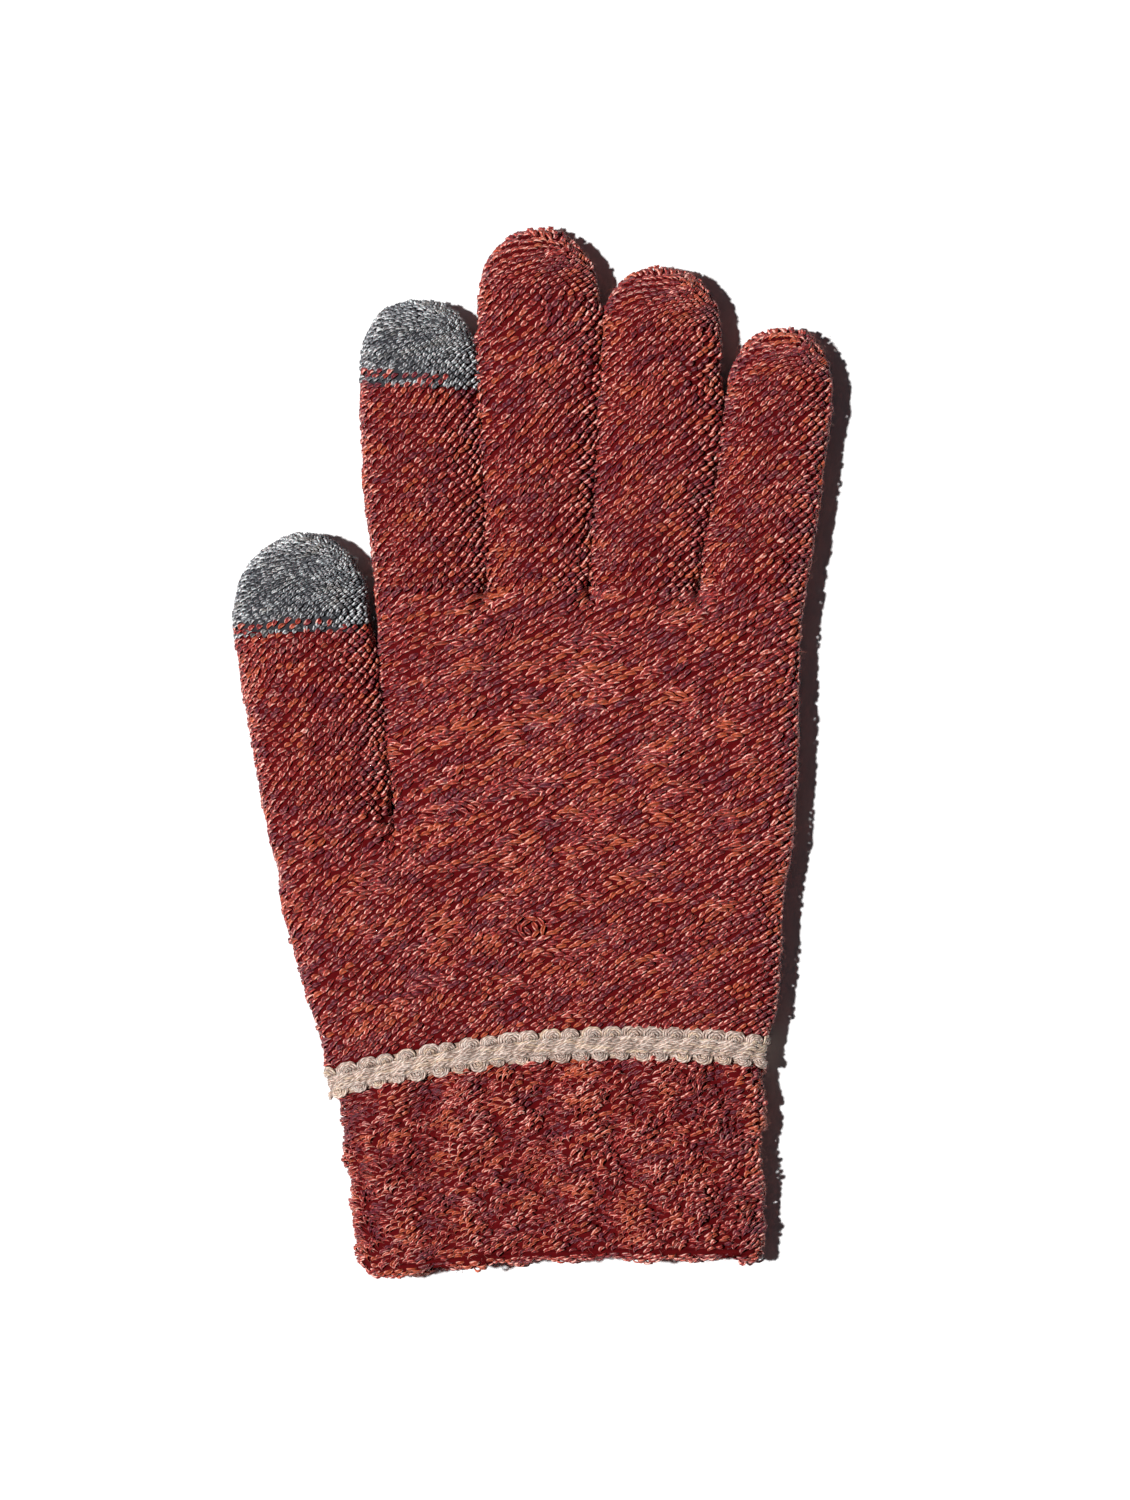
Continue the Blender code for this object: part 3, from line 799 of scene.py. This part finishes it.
class Nodes:
    """Short way to build a node tree."""

    def __init__(self, material):
        material.use_nodes = True
        self.tree = material.node_tree
        self.shader = self.tree.nodes["Principled BSDF"]

    def add(self, kind, **settings):
        node = self.tree.nodes.new("ShaderNode" + kind)
        for name, value in settings.items():
            setattr(node, name, value)
        return node

    def feed(self, socket, value):
        """Link a socket to another node's output, or give it a plain value."""
        if hasattr(value, "is_linked"):
            self.tree.links.new(value, socket)
        else:
            socket.default_value = value

    def shade_with(self, values):
        """Feed the shader's inputs by name."""
        for name, value in values.items():
            self.feed(self.shader.inputs[name], value)

    def attribute(self, name):
        return self.add("Attribute", attribute_name=name).outputs["Fac"]

    def range(self, value, low, high, out_low, out_high):
        node = self.add("MapRange")
        for key, number in (("Value", value), ("From Min", low), ("From Max", high),
                            ("To Min", out_low), ("To Max", out_high)):
            self.feed(node.inputs[key], number)
        return node.outputs["Result"]

    def math(self, operation, first, second):
        node = self.add("Math", operation=operation)
        for socket, value in zip(node.inputs, (first, second)):
            self.feed(socket, value)
        return node.outputs[0]

    def mix(self, share, first, second, blend="MIX"):
        node = self.add("Mix", data_type="RGBA", blend_type=blend)
        for key, value in (("Factor", share), ("A", first), ("B", second)):
            self.feed(node.inputs[key], value)
        return node.outputs["Result"]

    def ramp(self, value, stops):
        node = self.add("ValToRGB")
        elements = node.color_ramp.elements
        while len(elements) < len(stops):
            elements.new(0.5)
        for element, (position, colour) in zip(elements, stops):
            element.position, element.color = position, colour
        self.feed(node.inputs["Fac"], value)
        return node.outputs["Color"]

    def noise(self, scale, detail):
        node = self.add("TexNoise")
        place = self.add("TexCoord").outputs["Object"]
        for key, value in (("Vector", place), ("Scale", scale), ("Detail", detail)):
            self.feed(node.inputs[key], value)
        return node.outputs["Fac"]


def yarn_material(name, stops, cool, warm, sheen_tint):
    """Spun yarn: heathered colour, twisted plies and a soft halo.

    The attributes of the strands give the shade along the colour stops, how far the colour goes to
    cool or warm, and the place around the twisted plies. That place paints a highlight along one side
    of each ply, and shade along the other side and in the groove between plies.
    """
    material = bpy.data.materials.new(name)
    nodes = Nodes(material)
    heather = nodes.attribute("heather")
    grain = nodes.noise(2600.0, 3.0)
    wave = nodes.math("SINE", nodes.math("MULTIPLY", nodes.attribute("ply"), 2 * math.pi), 0.0)
    # Painted highlight: one side of each ply is pushed towards the pale stops, where light falls on it
    painted_highlight = nodes.range(wave, 0.30, 1.0, -0.13, 0.42)
    mottle = nodes.range(nodes.noise(1100.0, 1.0), 0.3, 0.7, -0.32, 0.32)
    lighter = nodes.math("ADD", nodes.range(grain, 0.25, 0.75, -0.28, 0.28), painted_highlight)
    lighter = nodes.math("ADD", lighter, mottle)
    colour = nodes.ramp(nodes.math("ADD", nodes.attribute("shade"), lighter), stops)
    colour = nodes.mix(nodes.range(heather, -0.08, -0.65, 0.0, 0.66), colour, cool)
    colour = nodes.mix(nodes.range(heather, 0.16, 0.80, 0.0, 0.52), colour, warm)
    # Painted shade: the other side of each ply and the groove between plies are multiplied darker
    groove = nodes.add("CombineColor")
    darker = nodes.range(wave, -1.0, 0.6, 0.62, 1.06)
    for socket in groove.inputs:
        nodes.feed(socket, darker)
    bump = nodes.add("Bump")
    height = nodes.math("ADD", wave, nodes.math("MULTIPLY", grain, 1.5))
    for key, value in (("Strength", 0.6), ("Distance", 0.00012), ("Height", height)):
        nodes.feed(bump.inputs[key], value)
    nodes.shade_with({
        "Base Color": nodes.mix(1.0, colour, groove.outputs["Color"], "MULTIPLY"),
        "Normal": bump.outputs["Normal"],
        "Roughness": nodes.range(grain, 0.3, 0.7, 0.47, 0.63),
        "Specular IOR Level": 0.5,
        "Subsurface Weight": 0.12,
        "Subsurface Radius": (1.0, 0.22, 0.18),
        "Subsurface Scale": 0.0006,
        "Sheen Weight": 0.17,
        "Sheen Roughness": 0.45,
        "Sheen Tint": sheen_tint,
    })
    return material


def shaded_inside_material(name, dark, light):
    """Dull hidden layer just under the stitches, darker than its yarn: painted shade for the gaps between
    the stitches.
    """
    material = bpy.data.materials.new(name)
    nodes = Nodes(material)
    grain = nodes.noise(900.0, 3.0)
    nodes.shade_with({
        "Base Color": nodes.mix(grain, dark, light),
        "Roughness": nodes.range(grain, 0.3, 0.7, 0.85, 1.0),
        "Specular IOR Level": 0.05,
    })
    return material


def stops(places, *colours):
    """Stops of a colour ramp, from colours given as 0 to 255."""
    return [(place, srgb(*colour)) for place, colour in zip(places, colours)]


def make_materials():
    """For each yarn, its material and that of the skin under it, a darker copy of the yarn as painted shade.
    """
    places = (0.0, 0.35, 0.65, 1.0)
    red = stops((0.0, 0.30, 0.55, 0.78, 1.0), (92, 9, 15), (128, 17, 20), (158, 27, 25),
                (200, 78, 64), (242, 182, 168))
    cream = stops(places, (156, 128, 114), (184, 156, 142), (202, 176, 162), (226, 204, 192))
    grey = stops(places, (50, 50, 54), (94, 94, 98), (142, 142, 146), (224, 224, 224))
    covered = stops(places, (40, 10, 22), (84, 22, 34), (120, 40, 44), (176, 104, 100))
    return {
        "red": [yarn_material("brick_red_yarn", red, srgb(92, 8, 42), srgb(202, 94, 42),
                              (1.0, 0.72, 0.68, 1.0)),
                shaded_inside_material("red_inside_shaded", srgb(62, 4, 8), srgb(96, 12, 14))],
        "cream": [yarn_material("cream_yarn", cream, srgb(168, 150, 140), srgb(226, 196, 160),
                                (1.0, 0.96, 0.92, 1.0)),
                  shaded_inside_material("cream_inside_shaded", srgb(150, 122, 108), srgb(172, 146, 130))],
        "grey": [yarn_material("grey_touch_yarn", grey, srgb(64, 66, 76), srgb(150, 142, 130),
                               (0.95, 0.96, 1.0, 1.0)),
                 shaded_inside_material("grey_inside_shaded", srgb(36, 36, 40), srgb(62, 62, 66))],
        "elastic": [yarn_material("covered_elastic", covered, srgb(60, 40, 50),
                                  srgb(150, 80, 60), (1.0, 0.9, 0.9, 1.0))],
    }


# ---- the pieces

def between(low, high, spacing=HALF_COURSE):
    """Even shares from 0 to 1 for rows about one spacing apart."""
    return np.linspace(0, 1, int(round((high - low) / spacing)) + 1)


def make_lobes(spans, whole, rise):
    """Function that turns a flat section into the sections of its digits as y goes through rise.

    spans gives each digit's edges, fullness and top; whole is the top of the flat section.
    """
    def lobes(x, y, up):
        height = np.full(x.shape, 0.02)
        for edges, fullness, top in spans:
            left, right = edges(np.full(x.shape, rise[1]))
            half = (right - left) / 2 - BASE_DEPTH
            t = np.clip(np.abs(x - (left + right) / 2) / half, 0, 1)
            digit = (1 - t ** fullness) ** (1 / fullness)
            height = np.maximum(height, ((1 + digit) * top - whole) / whole)
        share = smooth_step((y - rise[0]) / (rise[1] - rise[0]))
        return up + share * (np.sign(up) * height - up)
    return lobes


def add_piece(knit, name, materials, slot, *nodes):
    """Object made of a knit, standing for CAD nodes, which it hides. The slot argument is not used."""
    piece = knit.build(name, materials)
    if nodes:
        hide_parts(*nodes)
    return piece


def blend_along(piece, lower, upper, span):
    """Let a piece bend smoothly from its lower body to its upper one as y goes through span."""
    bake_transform(piece, lower, upper, (0, span[0] * MM, 0), (0, span[1] * MM, 0))


def crinkle(points):
    """Bumps and upright folds of the cuff, pulled in by the elastic."""
    waves = 0.55 * ripple(points * np.array([1.0, 0.7, 1.0]), 7.0, 81)
    folds = 0.45 * ripple(points * np.array([1.0, 0.15, 1.0]), 15.0, 82)
    return waves + folds - 0.1


def hem_line(offset, x):
    """Height of the hem at x, rising where it turns its two corners."""
    left = smooth_step((LEFT_CORNER["x"] - x) / LEFT_CORNER["width"])
    right = smooth_step((x - RIGHT_CORNER["x"]) / RIGHT_CORNER["width"])
    corner = LEFT_CORNER["rise"] * left ** 2 + RIGHT_CORNER["rise"] * right ** 2
    return arch(HEM_CREST, HEM_FALL, offset, x) + corner


def make_cuff(materials, edges):
    """Crinkled cuff, rolled under at its edge where the hem is overlocked."""
    def line(share, x):
        low = hem_line(-HEM_RADIUS * HEM_DROP, x)
        high = arch(STRIPE_CREST, STRIPE_FALL, -STRIPE_HEIGHT / 2 + CUFF_UNDERLAP, x)
        return low + share * (high - low)

    top = top_of("cuff")
    rings, plain = [], []
    for degrees in HEM_TURNS:
        turn = math.radians(degrees)
        drop = HEM_RADIUS * (1 + math.sin(turn))
        inset = BASE_DEPTH + (HEM_RADIUS - BASE_DEPTH) * (1 - math.cos(turn))
        ring, flat = straight_rows(edges, top, PALM_FULLNESS, [0],
                                   lambda share, x: hem_line(-drop, x), inset=inset)
        rings += ring
        plain += flat
    hem_rows = len(rings)
    shares = between(*CUFF_SPAN, CUFF_HALF_COURSE)
    outer, flat = straight_rows(edges, top, PALM_FULLNESS, shares, line)
    rows = hem_rows + len(outer)
    tube = Tube(rings + outer, plain + flat, crinkle, join=hem_rows, wale=CUFF_WALE, straight=rows)
    for name, first, final, style, node, slot, seed in (
            ("cuff_knit", hem_rows, rows, cuff_style, "cuff", "red_yarn", 11),
            ("hem_overlock", 0, hem_rows, hem_style, "hem_edging", "hem_thread", 13)):
        knit = Knit()
        rng = np.random.default_rng(seed)
        lay_stitches(knit, tube, range(first, final), rng, style, stray=0.13, pull=0.11,
                     pack=CUFF_PACK)
        lay_fuzz(knit, tube, range(first, final), FIBRES["cuff_row"] * (final - first), rng)
        knit.add_skin(tube, first, min(final, rows - 1))
        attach(add_piece(knit, name, materials["red"], slot, node), "cuff")


def make_stripe(materials, edges):
    """Thick cream courses: wavy bundles of strands between two rows of round loops."""
    def line(share, x):
        return arch(STRIPE_CREST, STRIPE_FALL, (share - 0.5) * STRIPE_HEIGHT, x)

    top = top_of("contrast_stripe")
    shares = between(0, 2 * STRIPE_HEIGHT)
    rings, plain = straight_rows(edges, top, PALM_FULLNESS, shares, line, inset=STRIPE_INSET)
    tube = Tube(rings, plain)
    rows = len(shares) - 1
    knit = Knit()
    rng = np.random.default_rng(12)
    loops = int(tube.around[0] / STRIPE_LOOP)
    steps = np.linspace(0, 1, STRAND_POINTS)

    def lay(place, height, lift, radius):
        """Strands at shares of the way around and heights in mm above the stripe's middle."""
        n = len(place)
        spot = tube.at((0.5 + height.ravel() / STRIPE_HEIGHT) * rows, place.ravel())
        centre, normal = spot[0].reshape(n, -1, 3), spot[3].reshape(n, -1, 3)
        shade = np.clip(rng.normal(0.5, 0.2, n), 0, 1)
        knit.add_strands(centre + normal * lift[..., None], normal, np.full(lift.shape, radius),
                         STRAND_SIDES, shade, rng.normal(0, 0.4, n), STRAND_TWIST)

    def bulge(place, height):
        """1 in the middle of each column of loops and -1 in the hollows between columns."""
        return np.cos(2 * math.pi * (place * loops - 0.10 * height))

    along = 1.3 * (steps - 0.5)[None, :]
    dive = np.abs(2 * steps - 1)[None, :] ** 4
    for number, level in enumerate(np.arange(*BUNDLE_LEVELS)):
        start = np.arange(loops)[:, None] + 0.5 * (number // 2 % 2) + rng.normal(0, 0.07, (loops, 1))
        place = (start + along) / loops
        hump = bulge(place, level)
        sway = 0.12 * np.sin(2 * math.pi * along + 0.6 * number)
        height = level + (0.12 + 0.10 * level) * hump + sway + rng.normal(0, 0.07, (loops, 1))
        lift = 0.22 + 0.34 * hump - 0.30 * dive + rng.normal(0, 0.10, (loops, 1))
        lay(place, height, lift, BUNDLE_RADIUS)
    turn = math.pi * (1 - steps)[None, :]
    for direction, base, offset, sizes in ((1, 1.9, 0.19, LOOP_SIZES_ABOVE),
                                           (-1, -1.95, -0.19, LOOP_SIZES_BELOW)):
        scale = np.clip(rng.normal(1.0, 0.13, (loops, 1)), 0.7, 1.25)
        middle = np.arange(loops)[:, None] + offset + rng.normal(0, 0.06, (loops, 1))
        for size in sizes:
            reach = size * scale
            place = (middle + reach * np.cos(turn) / STRIPE_LOOP) / loops
            height = base + direction * 0.95 * reach * np.sin(turn) ** 0.8
            lift = 1.05 + 0.16 * np.sin(turn) - 0.24 * size - 0.4 * dive
            lay(place, height, lift + rng.normal(0, 0.05, (loops, 1)), LOOP_RADIUS)
    lay_fuzz(knit, tube, range(len(shares)), FIBRES["stripe"], rng)
    ledge, flat_ledge = straight_rows(edges, top, PALM_FULLNESS, [LEDGE_SHARE], line,
                                      inset=LEDGE_INSET)
    knit.add_skin(Tube(ledge + rings[1:-1], flat_ledge + plain[1:-1]), 0, rows - 1)
    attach(add_piece(knit, "stripe_knit", materials["cream"], "cream_yarn", "contrast_stripe"),
            "cuff")


def palm_relief(points):
    """Soft unevenness of the palm."""
    return 0.30 * ripple(points, 22.0, 91) + 0.16 * ripple(points, 8.0, 92)


def palm_piece(tube, name, seed, rows, skin_start, fibres, materials, *nodes):
    """Some rows of a palm's tube as one piece."""
    knit = Knit()
    rng = np.random.default_rng(seed)
    lay_stitches(knit, tube, rows, rng, palm_style, stray=0.10, pull=0.05)
    lay_fuzz(knit, tube, rows, fibres, rng)
    knit.add_skin(tube, skin_start, rows[-1] + 1)
    return add_piece(knit, name, materials["red"], "red_yarn", *nodes)


def make_lower_palm(materials, edges, digits):
    """Wrist and five-finger palm, from the stripe to the thumb opening."""
    def line(share, x):
        low = arch(STRIPE_CREST, STRIPE_FALL, STRIPE_HEIGHT / 2 - PALM_UNDERLAP, x)
        return low + share * (THUMB_LINE - low)

    top = top_of("five_finger_palm")
    spans = [(digits["thumb"], FINGER_FULLNESS, top_of("thumb_lower")),
             (digits["palm"], PALM_FULLNESS, top_of("four_finger_palm"))]
    lobes = make_lobes(spans, top, (THUMB_RISE, THUMB_LINE))
    shares = between(WRIST_START, THUMB_LINE, PALM_HALF_COURSE)
    middle = len(shares) // 2
    last = len(shares) - 1
    rings, plain = straight_rows(edges, top, PALM_FULLNESS, shares, line, lobes)
    tube = Tube(rings, plain, palm_relief, join=last, wale=PALM_WALE)
    wrist = palm_piece(tube, "wrist_knit", 14, range(1, middle), 0, FIBRES["lower_palm"],
                       materials, "wrist_section")
    palm = palm_piece(tube, "lower_palm_knit", 15, range(middle, last), middle,
                      FIBRES["lower_palm"], materials, "five_finger_palm")
    for piece in (wrist, palm):
        blend_along(piece, "cuff", "hand", WRIST_BLEND)


def make_upper_palm(materials, digits):
    """Four-finger palm, from the thumb opening to the finger line."""
    def line(share, x):
        return THUMB_LINE + share * (FINGER_LINE - THUMB_LINE)

    top = top_of("four_finger_palm")
    spans = [(digits[name], FINGER_FULLNESS, top_of(name + "_lower"))
             for name in ("index", "middle", "ring", "little")]
    lobes = make_lobes(spans, top, (FINGER_RISE, FINGER_LINE))
    shares = between(THUMB_LINE, FINGER_LINE, PALM_HALF_COURSE)
    middle = len(shares) // 2
    last = len(shares) - 1
    rings, plain = straight_rows(digits["palm"], top, PALM_FULLNESS, shares, line, lobes)
    tube = Tube(rings, plain, palm_relief, wale=PALM_WALE)
    lower = palm_piece(tube, "middle_palm_knit", 16, range(middle), 0, FIBRES["upper_palm"],
                       materials, "four_finger_palm")
    upper = palm_piece(tube, "upper_palm_knit", 17, range(middle, last), middle,
                       FIBRES["upper_palm"], materials)
    for piece in (lower, upper):
        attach(piece, "hand")


def digit_tube(name, digit, edges, seed):
    """A finger's tube, from its root over its dome."""
    start, dome = digit["start"], digit["dome"]

    def line(share, x):
        return start + share * (dome - start)

    def relief(points):
        return 0.16 * ripple(points, 14.0, seed) + 0.10 * ripple(points, 6.0, seed + 1)

    top = top_of(name + "_lower")
    shares = between(start, dome, DIGIT_HALF_COURSE)
    rings, plain = straight_rows(edges, top, FINGER_FULLNESS, shares, line)
    domes = dome_rows(edges, top, digit)
    return Tube(rings + domes, plain + domes, relief, straight=len(rings), wale=DIGIT_WALE)


def make_digit(name, digit, edges, materials, seed):
    """Finger tube: one piece across each knuckle, and a touch-screen tip where it has one."""
    tube = digit_tube(name, digit, edges, seed)
    rows = len(tube.points)
    cut = int(((digit["base"][1] + digit["middle"][0]) / 2 - digit["start"]) / DIGIT_HALF_COURSE)
    rng = np.random.default_rng(seed)
    knit = Knit()
    lay_stitches(knit, tube, range(cut), rng, digit_style)
    lay_fuzz(knit, tube, range(cut), FIBRES["lower_digit"], rng)
    knit.add_skin(tube, 0, cut, DIGIT_SKIN_SAMPLES)
    piece = add_piece(knit, name + "_lower_knit", materials["red"], "red_yarn",
                      name + "_root", name + "_lower")
    blend_along(piece, "hand", name + "_proximal", digit["base"])

    knit = Knit()
    nodes = [name + "_upper"]
    if digit["touch"]:
        make_touch_tip(name, digit, edges, tube, cut, knit, materials, rng)
    else:
        lay_stitches(knit, tube, range(cut, rows), rng, digit_style)
        lay_fuzz(knit, tube, range(cut, rows), FIBRES["upper_digit"], rng)
        knit.add_skin(tube, cut, rows - 1, DIGIT_SKIN_SAMPLES)
        lay_closure(knit, tube, rng)
        nodes.append(name + "_closure")
    piece = add_piece(knit, name + "_upper_knit", materials["red"], "red_yarn", *nodes)
    blend_along(piece, name + "_proximal", name + "_distal", digit["middle"])


def make_touch_tip(name, digit, edges, tube, cut, knit, materials, rng):
    """Grey tip as a piece of its own, and the red rows of the given knit that lead up to it."""
    rows = len(tube.points)
    line_y, slope = digit["touch"]
    centre_x = sum(edges(line_y)) / 2

    def grey(points):
        """Stitches above the slanted line, apart from one red row that stops short of the right."""
        height = points[:, 1] - line_y - slope * (points[:, 0] - centre_x)
        red_row = (height > RED_ROW[0]) & (height < RED_ROW[1])
        red_row &= points[:, 0] < centre_x + RED_ROW_END
        return (height > -TIP_BELOW) & ~red_row

    boundary = int((line_y - digit["start"]) / DIGIT_HALF_COURSE)
    red_rows, grey_rows = range(cut, boundary + ROWS_ABOVE), range(boundary - ROWS_BELOW, rows)
    tip = Knit()
    lay_stitches(knit, tube, red_rows, rng, digit_style, lambda points: ~grey(points))
    lay_stitches(tip, tube, grey_rows, rng, grey_style, grey, pack=GREY_PACK)
    lay_fuzz(knit, tube, range(cut, boundary), FIBRES["below_tip"], rng)
    lay_fuzz(tip, tube, range(boundary, rows), FIBRES["tip"], rng)
    knit.add_skin(tube, cut, boundary, DIGIT_SKIN_SAMPLES)
    tip.add_skin(tube, boundary, rows - 1, DIGIT_SKIN_SAMPLES)
    lay_closure(tip, tube, rng)
    piece = add_piece(tip, name + "_tip_knit", materials["grey"], "grey_yarn",
                      name + "_touch_tip", name + "_closure")
    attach(piece, name + "_distal")


def lay_closure(knit, tube, rng):
    """Gathering yarn: strands drawn into a short groove at the pole of the dome."""
    steps = np.linspace(0, 1, CLOSURE_POINTS)
    row = len(tube.points) - 1 - CLOSURE_START - CLOSURE_ROWS * steps
    radius = np.full((1, CLOSURE_POINTS), CLOSURE_RADIUS)
    for number in range(CLOSURE_STRANDS):
        place = CLOSURE_PLACE + CLOSURE_SPACING * number - CLOSURE_SWEEP * steps
        centre, _, _, normal = tube.at(row, place)
        paths = (centre + normal * (0.55 - 0.35 * steps)[:, None])[None]
        knit.add_strands(paths, normal[None], radius, STRAND_SIDES, rng.uniform(0.3, 0.7, 1),
                         rng.uniform(-0.4, 0.4, 1), PLY_TWIST)


# ---- floor, light and camera

def make_stage():
    """Plain white floor, just under the glove."""
    half, low = FLOOR_HALF_SIDE, -FLOOR_GAP
    corners = [(-half, -half, low), (half, -half, low), (half, half, low), (-half, half, low)]
    mesh = bpy.data.meshes.new("floor")
    mesh.from_pydata(corners, [], [(0, 1, 2, 3)])
    material = bpy.data.materials.new("white_paper")
    Nodes(material).shade_with({"Base Color": PAPER_WHITE, "Roughness": 0.9,
                                "Specular IOR Level": 0.1})
    mesh.materials.append(material)
    floor = bpy.data.objects.new("floor", mesh)
    bpy.context.scene.collection.objects.link(floor)


def make_light():
    """High sun from the left, as in the photo."""
    data = bpy.data.lights.new("key", "SUN")
    data.energy = SUN_STRENGTH
    data.angle = math.radians(SUN_WIDTH)
    azimuth, elevation = math.radians(SUN_AZIMUTH), math.radians(SUN_ELEVATION)
    toward = (math.cos(elevation) * math.cos(azimuth), math.cos(elevation) * math.sin(azimuth),
              math.sin(elevation))
    key = bpy.data.objects.new("key", data)
    key.rotation_mode = "QUATERNION"
    key.rotation_quaternion = Vector(toward).to_track_quat("Z", "Y")
    bpy.context.scene.collection.objects.link(key)


def make_world():
    """Faint blue fill for the surfaces, and a pale backdrop that only the camera sees."""
    world = bpy.data.worlds.new("studio")
    world.use_nodes = True
    tree = world.node_tree
    fill = tree.nodes["Background"]
    fill.inputs["Color"].default_value = (0.80, 0.88, 1.0, 1.0)
    fill.inputs["Strength"].default_value = FILL_STRENGTH
    backdrop = tree.nodes.new("ShaderNodeBackground")
    backdrop.inputs["Color"].default_value = PAPER_WHITE
    path = tree.nodes.new("ShaderNodeLightPath")
    either = tree.nodes.new("ShaderNodeMixShader")
    sources = (path.outputs["Is Camera Ray"], fill.outputs[0], backdrop.outputs[0])
    for source, socket in zip(sources, either.inputs):
        tree.links.new(source, socket)
    tree.links.new(either.outputs[0], tree.nodes["World Output"].inputs["Surface"])
    bpy.context.scene.world = world


def make_camera():
    """Straight above, and high enough for the photo's nearly flat perspective."""
    data = bpy.data.cameras.new("camera")
    data.sensor_fit = "VERTICAL"
    data.sensor_height = 36.0
    data.lens = data.sensor_height * (CAMERA_PLACE[2] - VIEW_LEVEL) / VIEW_LENGTH
    data.clip_end = 20.0
    camera = bpy.data.objects.new("camera", data)
    camera.location = CAMERA_PLACE
    bpy.context.scene.collection.objects.link(camera)
    bpy.context.scene.camera = camera


# ---- the glove

def sections(name):
    """CAD nodes of a digit's tube."""
    tip = [name + "_touch_tip"] if DIGITS[name]["touch"] else []
    return [name + "_root", name + "_lower", name + "_upper"] + tip


def digit_sides(left_name, right_name):
    """Right edge of one finger and left edge of the next, pressed together."""
    return touching(Edge(sections(left_name), 1), Edge(sections(right_name), -1), FINGER_LINE)


make_camera()
make_light()
make_world()
make_stage()
bpy.context.scene.view_settings.view_transform = "Standard"
yarns = make_materials()

palm_nodes = ["wrist_section", "five_finger_palm"]
thumb_left = Edge(palm_nodes + sections("thumb"), -1, low=-67.5)
little_right = Edge(palm_nodes + ["four_finger_palm"] + sections("little"), 1, low=-60.0)
index_left = Edge(["four_finger_palm"] + sections("index"), -1)
thumb_right, palm_left = touching(Edge(sections("thumb"), 1), index_left, THUMB_LINE)
index_right, middle_left = digit_sides("index", "middle")
middle_right, ring_left = digit_sides("middle", "ring")
ring_right, little_left = digit_sides("ring", "little")
tubes = {
    "palm": make_edges(palm_left, little_right),
    "thumb": make_edges(thumb_left, thumb_right),
    "index": make_edges(index_left, index_right),
    "middle": make_edges(middle_left, middle_right),
    "ring": make_edges(ring_left, ring_right),
    "little": make_edges(little_left, little_right),
}
hand_edges = make_edges(tucked(thumb_left, WRIST_TUCK, WRIST_TUCK_SPAN),
                        tucked(little_right, -WAIST_TUCK, WAIST_TUCK_SPAN))
cuff_left = Edge(["cuff"], -1, high=-81.0)
cuff_right = Edge(["cuff"], 1, high=-69.5)
cuff_edges = make_edges(cuff_left, tucked(cuff_right, -WAIST_TUCK, CUFF_TUCK_SPAN))
stripe_left = Edge(["contrast_stripe"], -1, blur=1.0, low=-75.0, high=-70.0)
stripe_right = Edge(["contrast_stripe"], 1, blur=1.0, low=-67.5, high=-62.5)
stripe_edges = make_edges(tucked(stripe_left, WRIST_TUCK, WRIST_TUCK_SPAN),
                          tucked(stripe_right, -WAIST_TUCK, WAIST_TUCK_SPAN))
make_cuff(yarns, cuff_edges)
make_stripe(yarns, stripe_edges)
make_lower_palm(yarns, hand_edges, tubes)
make_upper_palm(yarns, tubes)
for number, (digit_name, digit_facts) in enumerate(DIGITS.items()):
    make_digit(digit_name, digit_facts, tubes[digit_name], yarns, 20 + 3 * number)
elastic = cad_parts["cuff_elastic"]
elastic.data.materials.clear()
elastic.data.materials.append(yarns["elastic"][0])
